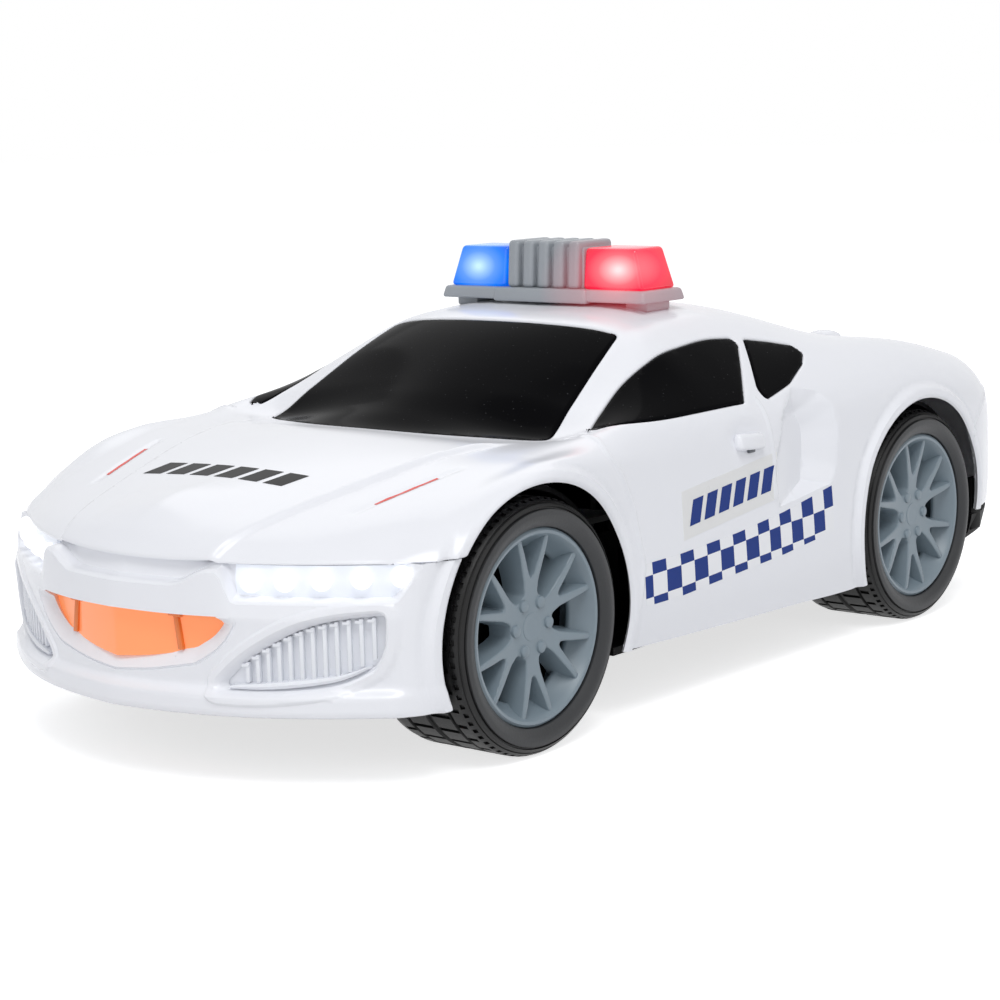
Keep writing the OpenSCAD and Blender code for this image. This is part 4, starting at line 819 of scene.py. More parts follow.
def buildFrontBumper(s):
    counts = np.array(s["rows"])
    ends = np.concatenate([[0], np.cumsum(counts)])
    bm = bmesh.new()
    half = int(noseAlong[-1] / s["step"])
    bmesh.ops.create_grid(bm, x_segments=2 * half, y_segments=int(counts.sum()), size=1)
    a = np.array([v.co.x for v in bm.verts]) * noseAlong[-1]
    down = (1 - np.array([v.co.y for v in bm.verts])) / 2 * counts.sum()
    setCoords(bm, nosePoint(a, np.interp(down, ends, np.arange(len(ends)))))
    for field, edge in ((grilleField, s["grilleRim"]), (ventField, s["ventRim"])):
        score(bm, field, *[level for level, _ in reversed(edge)])
    score(bm, archField, *archLevels)
    for field in (grilleField, ventField, archField):
        dropFaces(bm, field)
    p = coords(bm)
    g, k, f = grilleField(p), ventField(p), archField(p)
    sink = np.interp(g, *zip(*s["grilleRim"])) * (1 - smoothStep(*s["grilleFade"], p[:, 2]))
    sink += np.interp(k, *zip(*s["ventRim"]))
    p[:, 1] += sink
    p[:, 0] += np.sign(p[:, 0]) * carBody["lipHeight"] * lipProfile(f) * (np.abs(p[:, 0]) > carBody["flank"])
    setCoords(bm, p)
    turnOut(bm, s["inside"], True)
    finishPiece(wall(bm, s["wall"]), "frontBumper", "shellWhite", "car", ["front_bumper"], 34)


buildFrontBumper(frontBumper)
print("front bumper built")


def block(bm, size, place, bevel, taper=(1, 1), lean=(0, 0), turn=None, segments=2):
    # bevelled block, its top drawn in by the taper and moved by the lean
    verts = bmesh.ops.create_cube(bm, size=1.0)["verts"]
    for v in verts:
        top = v.co.z > 0
        v.co.x = v.co.x * size[0] * (taper[0] if top else 1) + (lean[0] if top else 0)
        v.co.y = v.co.y * size[1] * (taper[1] if top else 1) + (lean[1] if top else 0)
        v.co.z *= size[2]
        v.co *= mm
    if turn is not None:
        bmesh.ops.rotate(bm, verts=verts, matrix=turn, cent=(0, 0, 0))
    bmesh.ops.translate(bm, verts=verts, vec=Vector(place) * mm)
    edges = list({e for v in verts for e in v.link_edges})
    bmesh.ops.bevel(bm, geom=edges, offset=bevel * mm, offset_type="OFFSET", affect="EDGES", segments=segments,
                    profile=0.5, material=-1, clamp_overlap=True)


def turned(bm, profile, centre, steps, axis="x"):
    # closed profile of radius and place along the axle, turned right round it
    if axis == "x":
        verts = [bm.verts.new((a * mm, centre[0] * mm, (centre[1] + r) * mm)) for r, a in profile]
        spinAxis, cent = (1, 0, 0), (0, centre[0] * mm, centre[1] * mm)
    else:
        verts = [bm.verts.new(((centre[0] + r) * mm, centre[1] * mm, a * mm)) for r, a in profile]
        spinAxis, cent = (0, 0, 1), (centre[0] * mm, centre[1] * mm, 0)
    edges = [bm.edges.new(pair) for pair in zip(verts, verts[1:] + verts[:1])]
    bmesh.ops.spin(bm, geom=verts + edges, axis=spinAxis, cent=cent, angle=2 * math.pi, steps=steps,
                   use_merge=True, use_duplicate=False)


def gridSheet(bm, cells, placeOf):
    made = bmesh.ops.create_grid(bm, x_segments=cells[0], y_segments=cells[1], size=1)["verts"]
    for v in made:
        v.co = Vector(placeOf(v.co.x, v.co.y)) * mm
    return made


def mirrorPiece(bm, side=1):
    if side < 0:
        bmesh.ops.scale(bm, vec=(-1, 1, 1), verts=bm.verts)
    bmesh.ops.remove_doubles(bm, verts=bm.verts, dist=weld["piece"])
    bmesh.ops.recalc_face_normals(bm, faces=bm.faces)


def secondFinish(bm, start):
    # faces made after this count take the piece's second material
    bm.faces.ensure_lookup_table()
    for f in bm.faces[start:]:
        f.material_index = 1


# tyres: grey sidewall band, ringed shoulder, grooved and notched tread
tyre = {"steps": 144, "notchEvery": 4, "notchDepth": 0.55, "notchEdge": 0.12, "sidewall": (52, 53, 55),
    "tread": (9, 9, 10), "radius": 0.031, "edge": 0.913, "edgeFade": 0.01, "rough": (0.36, 0.5),
    "pitch": 0.0006, "outerBands": ((65.5, 68.1), (46.5, 49.1)),
    "middleBands": ((58.6, 64.0), (50.6, 56.0)), "shoulderBands": ((69.2, 70.1),),
    "section": [(24.0, 70.2), (24.1, 70.9), (24.5, 71.3), (25.2, 71.7), (26.0, 72.1), (27.2, 72.3),
        (28.3, 72.1), (28.5, 71.4), (28.7, 71.4), (28.9, 71.8), (29.6, 71.3), (29.8, 70.8), (30.0, 70.9),
        (30.5, 70.2), (30.9, 69.1), (31.0, 68.2), (31.0, 65.4), (30.4, 65.2), (30.4, 64.4), (31.0, 64.2),
        (31.0, 58.4), (30.3, 58.1), (30.3, 56.5), (31.0, 56.2), (31.0, 50.4), (30.4, 50.2), (30.4, 49.4),
        (31.0, 49.2), (31.0, 46.4), (30.5, 44.4), (29.2, 43.0), (26.5, 42.3), (24.0, 43.2)]}


def tyreFinish(s, name, axle):
    # rubber with rings about its axle, darker towards the tread
    mat, t, shader, place = newMaterial(name)
    rings = addNode(t, "Group", {}, node_tree=wheelRings)
    feed(t, rings, {"Axle": axle, "Pitch": s["pitch"], "Vector": place})
    grain = addNode(t, "Group", {"Grain Scale": 1600.0, "Vector": place}, node_tree=mouldedGrain).outputs
    stops = [(s["edge"] - s["edgeFade"], srgb(*s["sidewall"])), (s["edge"] + s["edgeFade"], srgb(*s["tread"]))]
    tone = rampNode(t, stops, mathNode(t, "DIVIDE", rings.outputs["Radius"], s["radius"]))
    tone = mixNode(t, {"Factor": 0.25, "A": tone, "B": grain["Mottle"]}, blend_type="MULTIPLY")
    height = mathNode(t, "ADD", mathNode(t, "MULTIPLY", rings.outputs["Ring"], 0.35), grain["Grain"])
    feed(t, shader, {"Base Color": tone, "Roughness": rangeNode(t, *s["rough"], grain["Grain"]), "IOR": 1.4,
                     "Normal": bumpNode(t, 0.12, 0.0003, height)})
    return mat


def buildTyre(s, end, side, word):
    bm = bmesh.new()
    y, z = axleAt[end]
    turned(bm, s["section"], (y, z), s["steps"])
    bmesh.ops.remove_doubles(bm, verts=bm.verts, dist=weld["piece"])
    bmesh.ops.recalc_face_normals(bm, faces=bm.faces)
    # notches across the outer and inner tread bands, and dashes round the shoulder
    patterns = ((s["notchEvery"], 0, s["outerBands"]), (s["notchEvery"], 2, s["middleBands"]),
                (2, 1, s["shoulderBands"]))
    notches = []
    for f in bm.faces:
        c = f.calc_center_median() / mm
        turnAt = int((math.atan2(c.y - y, c.z - z) / (2 * math.pi) % 1) * s["steps"])
        if any(turnAt % every == at and any(a < c.x < b for a, b in bands) for every, at, bands in patterns):
            notches.append(f)
    bmesh.ops.inset_individual(bm, faces=notches, thickness=s["notchEdge"] * mm, depth=-s["notchDepth"] * mm)
    mirrorPiece(bm, side)
    mat = tyreFinish(s, "tyreRubber" + end.title() + word, (0, y * mm, z * mm))
    finishPiece(bm, "tyre" + end.title() + word, mat, end + "_wheels",
                ["tyre_%s_%s" % (end, word.lower())], 30)


# rims: six V spokes on a flat star, lug nuts, cap and a dished barrel, with a black disc behind the spokes as
# painted shade for the inside of the wheel
rim = {"hubFace": 68.7, "lipFace": 69.8, "dish": (7, 22), "armFrom": (8.2, 3.2), "armTo": (22.8, 14.0),
    "armHalf": (1.35, 0.72), "stem": (9.4, 2.3), "hub": 7.9, "blend": 0.42, "depth": 7.0, "draft": 0.9,
    "edge": 0.42, "reach": 22.2, "grid": 22.6, "cells": (112, 112), "nutRing": 6.3, "nuts": 6,
    "nut": [(pin, 0.75), (0.96, 0.72), (1.36, 0.5), (1.568, 0), (1.6, -0.6), (1.6, -6), (pin, -6)],
    "cap": [(pin, -0.1), (2.2, 0), (3.1, 0.14), (3.4, 0.1), (3.6, -0.3), (pin, -0.3)],
    "sleeve": [(5.2, 64.7), (5.2, 44.5), (3.4, 44.5), (3.4, 64.7)],
    "shadeDisc": [(pin, 59.6), (22.8, 59.6), (22.8, 58.4), (pin, 58.4)],
    "barrel": [(23.95, 69.6), (23.8, 70.3), (23.2, 70.75), (22.5, 70.6), (22.0, 70.0), (21.5, 68.9),
        (20.8, 67.6), (20.0, 66.4), (19.3, 65.7), (18.9, 65.3), (18.8, 64.9), (18.8, 64.4), (22.6, 64.4),
        (22.6, 44.5), (23.5, 44.5), (23.95, 45.2)]}


def starField(p):
    # distance to the outline of the spoke star, rounded where its bars meet
    s = rim
    r = np.hypot(p[:, 1], p[:, 2])
    a = np.degrees(np.arctan2(p[:, 1], p[:, 2]))
    a = np.radians(np.abs((a + 30) % 60 - 30))
    q = np.stack([r * np.cos(a), r * np.sin(a)], 1)
    spot = lambda reach, turn: reach * np.array([math.cos(math.radians(turn)), math.sin(math.radians(turn))])
    start = spot(*s["armFrom"])
    run = spot(*s["armTo"]) - start
    bars = [r - s["hub"], np.hypot(q[:, 0] - np.clip(q[:, 0], 0, s["stem"][0]), q[:, 1]) - s["stem"][1]]
    for flip in (1, -1):
        d = q * [1, flip] - start
        t = np.clip(d @ run / (run @ run), 0, 1)
        half = s["armHalf"][0] * (1 - t) + s["armHalf"][1] * t
        bars.append(np.linalg.norm(d - t[:, None] * run, axis=1) - half)
    return -s["blend"] * np.log(sum(np.exp(-np.clip(d, -20, 20) / s["blend"]) for d in bars))


def buildStar(s):
    star = bmesh.new()
    gridSheet(star, s["cells"], lambda u, w: (0, u * s["grid"], w * s["grid"]))
    ends = lambda p: np.hypot(p[:, 1], p[:, 2]) - s["reach"]
    score(star, ends, 0)
    dropFaces(star, ends, True)
    score(star, starField, 0, -0.1, -s["edge"])
    dropFaces(star, starField, True)
    bmesh.ops.delete(star, geom=[v for v in star.verts if not v.link_faces], context="VERTS")
    bmesh.ops.remove_doubles(star, verts=star.verts, dist=weld["sheet"])
    edges = [e for e in star.edges if e.is_boundary]
    rimVerts = {v for e in edges for v in e.verts}
    p = coords(star)
    away = starField(p)
    lean = np.stack([starField(p + np.eye(3)[k] * 0.05) - away for k in (1, 2)], 1)
    lean /= np.linalg.norm(lean, axis=1)[:, None] + 1e-9
    rise = (s["lipFace"] - s["hubFace"]) * smoothStep(*s["dish"], np.hypot(p[:, 1], p[:, 2]))
    face = s["hubFace"] + rise - edgeRound(-away, s["edge"])
    fronts = list(star.verts)
    twin = bmesh.ops.duplicate(star, geom=star.verts[:] + star.edges[:] + star.faces[:])["vert_map"]
    for e in edges:
        a, b = e.verts
        star.faces.new((a, b, twin[b], twin[a]))
    for v, x, out in zip(fronts, face, lean):
        v.co.x = x * mm
        back = twin[v]
        back.co.x = (s["lipFace"] - s["depth"]) * mm
        if v in rimVerts:
            back.co.y += out[0] * s["draft"] * mm
            back.co.z += out[1] * s["draft"] * mm
    mesh = bpy.data.meshes.new("starWork")
    star.to_mesh(mesh)
    star.free()
    return mesh


def buildRim(s, star, end, side, word):
    bm = bmesh.new()
    bm.from_mesh(star)
    onFace = lambda profile: [(r, s["hubFace"] + a) for r, a in profile]
    turned(bm, s["barrel"], (0, 0), 120)
    turned(bm, onFace(s["cap"]), (0, 0), 64)
    turned(bm, s["sleeve"], (0, 0), 48)
    for k in range(s["nuts"]):
        a = 2 * math.pi * (k + 0.5) / s["nuts"]
        turned(bm, onFace(s["nut"]), (s["nutRing"] * math.sin(a), s["nutRing"] * math.cos(a)), 28)
    # black disc behind the spokes: painted shade where the inside of the wheel lies in shadow
    start = len(bm.faces)
    turned(bm, s["shadeDisc"], (0, 0), 48)
    secondFinish(bm, start)
    bmesh.ops.translate(bm, verts=bm.verts, vec=Vector((0, *axleAt[end])) * mm)
    mirrorPiece(bm, side)
    finishPiece(bm, "rim" + end.title() + word, ["rimGrey", "chassisBlack"], end + "_wheels",
                ["rim_%s_%s" % (end, word.lower())], 34)


starMesh = buildStar(rim)
for end in axleAt:
    for side, word in hands:
        buildTyre(tyre, end, side, word)
        buildRim(rim, starMesh, end, side, word)
bpy.data.meshes.remove(starMesh)
print("wheels built")

# light bar: tray on feet, two lit lenses and a ribbed cover
lightBar = {"place": 13.6, "bottom": 98.81, "tray": 3.4, "traySize": (72, 20), "midSize": (33, 21.4),
    "midExtra": 0.5, "feet": (-30, 30), "footSize": (7.5, 11), "footExtra": 2.4, "coverTop": 115.4,
    "core": (26.6, 13.4), "coreDrop": 1.8, "ribs": 5, "ribShare": 0.72, "ribDepth": 17.8,
    "lensTop": 113.6, "lens": (20.4, 16), "lensPlace": 23.9, "lensTaper": (0.83, 0.84),
    "lensLean": (1.7, 0.2)}
blueGlow = glowFinish("blueGlow", (0.62, 0.9, 1, 1), srgb(0, 116, 240), srgb(0, 76, 205),
                      (-0.0240, 0.0062, 0.1078), (0.0135, 0.017, 0.0092), 0.95)
redGlow = glowFinish("redGlow", (1, 0.84, 0.84, 1), srgb(238, 30, 66), srgb(206, 8, 40),
                     (0.0255, 0.0064, 0.1078), (0.0150, 0.019, 0.0092), 0.95)
# grey plastic of the bar with the red light of the lit lens beside it painted on as a glow
spillGrey = glowFinish("spillGrey", srgb(255, 70, 80), srgb(120, 20, 26), (0, 0, 0, 1), (0.0255, 0.006, 0.104),
                       (0.026, 0.03, 0.018), 0.5, 0.0, 0.38)
greyTone = spillGrey.node_tree.nodes["Principled BSDF"].inputs["Base Color"].links[0].from_node
feed(spillGrey.node_tree, greyTone, {"A": srgb(150, 155, 160), "B": srgb(164, 169, 174)})


def buildLightBar(s):
    y, z, tray, top = s["place"], s["bottom"], s["tray"], s["coverTop"]
    bm = bmesh.new()
    block(bm, (*s["traySize"], tray), (0, y, z + tray / 2), 0.9, (0.975, 0.93), segments=3)
    block(bm, (*s["midSize"], tray + s["midExtra"]), (0, y, z + tray / 2 - 0.2), 0.8, (0.97, 0.95), segments=3)
    for x in s["feet"]:
        roof = onTop(x, y).z / mm
        block(bm, (*s["footSize"], z - roof + s["footExtra"]), (x, y, (z + roof) / 2 + 0.4), 0.7)
    finishPiece(bm, "lightBarTray", spillGrey, "car", ["lightbar_base"], 30)
    bm = bmesh.new()
    low, coreTop = z + tray, top - s["coreDrop"]
    block(bm, (*s["core"], coreTop - low), (0, y, (low + coreTop) / 2), 0.6, (1, 0.93))
    pitch = s["core"][0] / s["ribs"]
    for k in range(s["ribs"]):
        x = (k - (s["ribs"] - 1) / 2) * pitch
        size = (pitch * s["ribShare"], s["ribDepth"], top - low)
        block(bm, size, (x, y, (low + top) / 2), 1.15, (0.97, 0.9), segments=4)
    finishPiece(bm, "lightBarCover", spillGrey, "car", ["lightbar_cover"], 30)
    high = s["lensTop"] - low
    for side, word, mat in ((-1, "blue", blueGlow), (1, "red", redGlow)):
        bm = bmesh.new()
        block(bm, (*s["lens"], high), (side * s["lensPlace"], y, low + high / 2), 1.1, s["lensTaper"],
              (-side * s["lensLean"][0], s["lensLean"][1]), segments=4)
        finishPiece(bm, word + "Lens", mat, "car", [word + "_lens"], 40)


buildLightBar(lightBar)
print("light bar built")

# amber grille panel folded in the middle, with two slanted ribs; the lens has a painted glow and no lamp
grillePanel = {"depth": 3.0, "thickness": 1.4, "fold": 2.6, "half": (33, 8), "middle": (0, 35),
    "hidden": 0.5, "rib": 18.0, "ribSize": (1.6, 1.2, 8.2), "ribLean": 1.2, "hookSize": (4.2, 1.0, 0.7),
    "hookShare": 0.93}


def noseSpot(x, z, depth):
    y = float(noseLine(np.array(float(x))))
    return (x, y + depth, z)


def nosePlate(s, cells, inwards):
    # grid across the nose about the dictionary's middle, pushed in by a function of its two places
    bm = bmesh.new()
    (x, z), (wide, tall) = s["middle"], s["half"]
    gridSheet(bm, cells, lambda u, w: noseSpot(x + u * wide, z + w * tall, s["depth"] + inwards(u, w)))
    return bm


def holePlate(s, field, cells, inwards):
    # plate behind an opening of the nose, cut a little larger than the opening
    bm = nosePlate(s, cells, inwards)
    score(bm, field, s["hidden"])
    dropFaces(bm, field, True, s["hidden"])
    return wall(turnOut(bm, frontBumper["inside"]), s["thickness"])


def buildGrille(s):
    bm = holePlate(s, grilleField, (64, 16), lambda u, w: abs(u) * s["fold"])
    start = len(bm.faces)
    for side in (-1, 1):
        x = side * s["rib"]
        block(bm, s["ribSize"], noseSpot(x, 36.0, s["depth"] + 1.1), 0.3, lean=(-side * s["ribLean"], 0))
        block(bm, s["hookSize"], noseSpot(x * s["hookShare"], 40.0, s["depth"] + 1.0), 0.2)
    secondFinish(bm, start)
    finishPiece(bm, "grillePanel", ["amberLensPaintedGlow", "ribAmber"], "car", ["grille_lens"], 30)


buildGrille(grillePanel)

# corner vents: slats on a back plate with a bright blade under them
vent = {"depth": 4.8, "half": (19, 10), "middle": (46, 32.4), "hidden": 0.6, "thickness": 1.2,
    "slat": 1.0, "slatDeep": 2.0, "slatHead": (1.8, 2.2, 0.7), "pitch": 2.3, "first": 34.4, "count": 12,
    "foot": 1.5, "least": 1.2, "turn": 0.0126, "bladeRun": (31, 59, 30), "bladeArc": (29.5, 31),
    "bladeTall": 1.9, "bladeLow": 25,
    "bladeSection": ((0, 0), (0.1, -2.3), (0.5, -2.7), (0.9, -2.3), (1, 0))}


def ventSpan(x):
    # lowest and highest point of the opening at this place
    z = np.linspace(22, 42, 400)
    inside = z[ventField(np.stack([np.full_like(z, x), z, z], 1)) < 0]
    return (inside.min(), inside.max()) if len(inside) else None


def buildBlade(s, bm):
    start = None
    for x in np.linspace(*s["bladeRun"]):
        span = ventSpan(x)
        low = (span[0] if span else s["bladeLow"]) - 0.2
        along = min(1, max(0, (x - s["bladeArc"][0]) / s["bladeArc"][1]))
        tall = s["bladeTall"] * math.sin(math.pi * along) ** 0.5
        section = [noseSpot(x, low + dz * tall, s["depth"] + d) for dz, d in s["bladeSection"]]
        loop = [bm.verts.new(Vector(spot) * mm) for spot in section]
        edges = [bm.edges.new(pair) for pair in zip(loop, loop[1:] + loop[:1])]
        if start:
            bmesh.ops.bridge_loops(bm, edges=start + edges)
        else:
            bm.faces.new(loop)
        start = edges
    bm.faces.new(loop)


def buildVent(s, side, word):
    bm = holePlate(s, ventField, (40, 16), lambda u, w: 0)
    for k in range(s["count"]):
        x = s["first"] + k * s["pitch"]
        low, high = ventSpan(x)
        low += s["foot"]
        if high - low < s["least"]:
            continue
        turn = Matrix.Rotation(math.atan(s["turn"] * x), 3, "Z")
        spot = noseSpot(x, (high + low) / 2 - 0.2, s["depth"] - 0.7)
        block(bm, (s["slat"], s["slatDeep"], high - low), spot, 0.25, turn=turn)
        spot = noseSpot(x - 0.4, high - 0.9, s["depth"] - 0.8)
        block(bm, s["slatHead"], spot, 0.15, turn=turn)
    buildBlade(s, bm)
    mirrorPiece(bm, side)
    finishPiece(bm, "ventGrille" + word, "ventWhite", "car", ["vent_grille_" + word.lower()], 30)


for side, word in hands:
    buildVent(vent, side, word)
print("grille and vents built")

# lamp strips: five lit domes on a pale tray
lampStrip = {"lamps": [34.5, 41.8, 49.2, 56.8, 64.0], "radius": 2.5, "depth": 6.0, "lampHeight": 48.3,
    "rise": 0.04, "half": (19.4, 3.7), "middle": (50, 48.4), "trayDepth": 0.2, "trayDish": 0.5,
    "thickness": 0.9, "inside": (0, -100, 48)}
lampGlow = glowFinish("lampGlow", (1, 1, 1, 1), srgb(250, 252, 255), srgb(225, 232, 245),
                      (0, -0.14, 0.049), (1.0, 1.0, 0.01), 0.5, 1.0)
trayGlow = glowFinish("trayGlow", (0.9, 0.93, 1, 1), srgb(226, 230, 238), srgb(205, 210, 222),
                      (0, -0.14, 0.049), (1.0, 1.0, 0.006), 0.2, 1.0)


def buildLamps(s, side, word):
    bm = nosePlate(s, (40, 8), lambda u, w: s["trayDepth"] + s["trayDish"] * abs(w))
    bm = wall(turnOut(bm, s["inside"]), s["thickness"])
    start = len(bm.faces)
    for x in s["lamps"]:
        spot = noseSpot(x, s["lampHeight"] + (x - s["lamps"][0]) * s["rise"], s["depth"] - 0.2)
        dome = bmesh.ops.create_uvsphere(bm, u_segments=28, v_segments=16, radius=s["radius"] * mm)["verts"]
        bmesh.ops.translate(bm, verts=dome, vec=Vector(spot) * mm)
    secondFinish(bm, start)
    mirrorPiece(bm, side)
    finishPiece(bm, "headlampStrip" + word, [trayGlow, lampGlow], "car",
                ["headlamp_lens_" + word.lower()], 30)


for side, word in hands:
    buildLamps(lampStrip, side, word)
print("lamps built")

# stickers on the shell
checkerBand = {"columns": [-47.6, -44.3, -38.1, -31.6, -25.6, -19.5, -13.4, -7.3, -1.4, 4.6, 10.0, 15.2,
        20.7, 26.2, 31.8, 37.3, 41.8], "places": [-48, -31, -5, 17, 30, 42],
    "lines": [[28.6, 28.6, 30.2, 31.6, 32.9, 33.9], [30.5, 30.9, 32.4, 33.6, 34.4, 35.4],
        [36.2, 36.6, 37.9, 39.7, 40.2, 41.2], [39.4, 39.5, 40.8, 43.0, 45.0, 47.0]], "slant": 0.8,
    "fine": 5}
doorBars = {"from": -27.0, "to": 13.4, "low": 45.8, "tall": 6.6, "rise": 0.1, "bars": 6, "slant": 2.0,
    "share": 0.7, "margin": 3, "rearMargin": 2}
hoodBars = {"middle": (-3.5, -118.0), "width": 50.0, "length": 7.6, "bars": 6, "slant": 2.0,
    "share": 0.74}
hoodLine = {"corners": ((45.4, -118), (46.3, -118.2), (50.7, -100.7), (49.8, -100.5))}
film = {"thickness": 0.05, "inside": (0, 0, 30)}


def sticker(name, patches, mats, spotOf):
    # thin film laid on the shell; a patch is a place function, its divisions and a finish function
    bm = bmesh.new()
    for placeOf, fine, finishOf in patches:
        made = bmesh.ops.create_grid(bm, x_segments=fine[0], y_segments=fine[1], size=1)["verts"]
        for f in {f for v in made for f in v.link_faces}:
            c = f.calc_center_median()
            f.material_index = finishOf((c.x + 1) / 2, (c.y + 1) / 2)
        for v in made:
            v.co = spotOf(*placeOf((v.co.x + 1) / 2, (v.co.y + 1) / 2))
    finishPiece(wall(turnOut(bm, film["inside"]), film["thickness"]), name, mats, "car", (), 60)


def plain(u, w):
    return 0


def quad(*corners):
    # place function of a patch from its four corners
    a, b, c, d = (Vector(q) for q in corners)
    return lambda u, w: (a * (1 - u) + b * u) * (1 - w) + (d * (1 - u) + c * u) * w


def barPatches(s, start, low, tall, pitch, rise=0.0):
    # slanted bars side by side; each keeps its share of the pitch
    wide, lean = pitch * s["share"], s["slant"]
    bars = []
    for k in range(s["bars"]):
        a = start + k * pitch
        b = a + wide
        up, high = low + (a - start) * rise, low + (b - start) * rise
        bar = quad((a, up), (b, high), (b + lean, high + tall), (a + lean, up + tall))
        bars.append((bar, (6, 6), plain))
    return bars


def buildStickers(c, d, h):
    columns = len(c["columns"]) - 1

    def bandSpot(u, w):
        y = float(np.interp(u * columns, np.arange(columns + 1), c["columns"])) + (0.5 - w) * c["slant"]
        heights = [np.interp(y, c["places"], line) for line in c["lines"]]
        return y, float(np.interp(w * 3, np.arange(4), heights))

    def bandFinish(u, w):
        column, row = int(u * columns), int(w * 3)
        blue = (row == 1) == (column % 2 == 0) and not (row == 0 and column == columns - 1)
        return 0 if blue else 1

    sheet = lambda y, z: (y, d["low"] + (y - d["from"]) * d["rise"] + z)
    left, right, over = d["from"] - d["margin"], d["to"] + d["rearMargin"], d["tall"] + d["margin"]
    under = -d["margin"]
    backing = quad(sheet(left, under), sheet(right, under), sheet(right, over), sheet(left, over))
    bars = barPatches(d, d["from"], d["low"], d["tall"], (d["to"] - d["from"]) / d["bars"], d["rise"])
    for side, word in hands:
        sticker("checkerBand" + word, [(bandSpot, (columns * c["fine"], 3 * c["fine"]), bandFinish)],
                ["decalBlue", "decalWhite"], lambda y, z: onFlank(y, z, side))
        sticker("doorFilm" + word, [(backing, (16, 8), plain)], ["decalFilm"],
                lambda y, z: onFlank(y, z, side, 0.05))
        sticker("doorBars" + word, bars, ["decalBlue"], lambda y, z: onFlank(y, z, side, 0.12))
        sticker("hoodLine" + word, [(quad(*hoodLine["corners"]), (3, 16), plain)], ["lineRed"],
                lambda x, y: onTop(side * x, y, 0.1))
    bars = barPatches(h, h["middle"][0] - h["width"] / 2, h["middle"][1] - h["length"] / 2, h["length"],
                      h["width"] / h["bars"])
    sticker("hoodBars", bars, ["decalBlack"], lambda x, y: onTop(x, y, 0.08))


buildStickers(checkerBand, doorBars, hoodBars)

# door handles, each with a dark grey block under it as a painted shadow
doorHandle = {"place": (2.2, 64.0), "size": (3.4, 12.4, 4.3), "round": 1.4, "tilt": 4.0,
    "taper": (0.7, 0.97), "lean": 0.5, "shadowBlock": (1.6, 3.0, 1.2), "shadowBlockRound": 0.4}


def buildHandle(s, side, word):
    bm = bmesh.new()
    y, z = s["place"]
    spot = onFlank(y, z - 1.5, side, 0.9) / mm
    turn = Matrix.Rotation(math.radians(-s["tilt"]), 3, "X")
    block(bm, s["size"], (spot.x, spot.y, z), s["round"], s["taper"], (-side * s["lean"], 0), turn, 5)
    start = len(bm.faces)
    # dark grey block below the handle: painted shadow under it
    block(bm, s["shadowBlock"], (spot.x - side * 0.4, spot.y + 0.6, z - 2.5), s["shadowBlockRound"])
    secondFinish(bm, start)
    bmesh.ops.recalc_face_normals(bm, faces=bm.faces)
    finishPiece(bm, "doorHandle" + word, ["shellWhite", "dialGrey"], "car", (), 40)


for side, word in hands:
    buildHandle(doorHandle, side, word)

# deck buttons with dark rings; the dome is shares of the radius and drops from the top
deckButton = {"radius": 5.5, "low": 0.1, "foot": 1, "steps": 64,
    "dome": [(0.35, 0.12), (0.65, 0.5), (0.87, 1.1), (0.98, 1.9), (1, 2.6)],
    "ring": [(5.95, 1.2), (6.7, 1.2), (7.0, 0.7), (7.0, -0.8), (5.95, -0.8)]}


def deckHeight(x, y):
    # height of the rear deck, read from the body lines
    p = skin(np.linspace(0, 2, 60), np.full(60, float(y)))
    return float(np.interp(abs(x), p[:, 0], p[:, 2]))


def buildButton(s, word):
    node = word + "_button"
    lo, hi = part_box(node)
    x, y = (lo.x + hi.x) / 2 / mm, (lo.y + hi.y) / 2 / mm
    top, foot, r = hi.z / mm - s["low"], lo.z / mm + s["foot"], s["radius"]
    bm = bmesh.new()
    dome = [(r * share, top - drop) for share, drop in s["dome"]]
    turned(bm, [(pin, top), *dome, (r, foot), (pin, foot)], (x, y), s["steps"], "z")
    mirrorPiece(bm)
    finishPiece(bm, word + "Button", "shellWhite", node, [node], 35)
    bm = bmesh.new()
    turned(bm, s["ring"], (x, y), s["steps"], "z")
    for v in bm.verts:
        v.co.z += deckHeight(v.co.x / mm, v.co.y / mm) * mm
    mirrorPiece(bm)
    finishPiece(bm, word + "Ring", "panelBlack", "car", (), 35)


for word in ("siren", "horn"):
    buildButton(deckButton, word)

# tail lamps, let into the rounded tail
tailLamp = {"inside": 1.4, "proud": 0.5, "dome": 0.35, "domeEdge": 0.9, "capRise": 1.35,
    "points": [(31, 50.6), (40, 50.2), (47, 50), (51.6, 50.4), (51.4, 55), (46, 56), (38, 56.6),
        (31, 57)]}


def buildTailLamp(s, side, word):
    bm = bmesh.new()
    y = carBody["tailEnd"] + s["capRise"] - s["inside"]
    face = bm.faces.new([bm.verts.new(Vector((x, y, z)) * mm) for x, z in s["points"]])
    top = bmesh.ops.extrude_face_region(bm, geom=[face])["geom"]
    moved = [g for g in top if isinstance(g, bmesh.types.BMVert)]
    bmesh.ops.translate(bm, verts=moved, vec=(0, (s["inside"] + s["proud"]) * mm, 0))
    cap = [g for g in top if isinstance(g, bmesh.types.BMFace)]
    bmesh.ops.inset_region(bm, faces=cap, thickness=s["domeEdge"] * mm, depth=s["dome"] * mm)
    for v in bm.verts:
        v.co.y += tailBow(v.co.x / mm) * mm
    mirrorPiece(bm, side)
    finishPiece(bm, "tailLamp" + word, "tailRed", "car", ["tail_lamp_" + word.lower()], 30)


for side, word in hands:
    buildTailLamp(tailLamp, side, word)

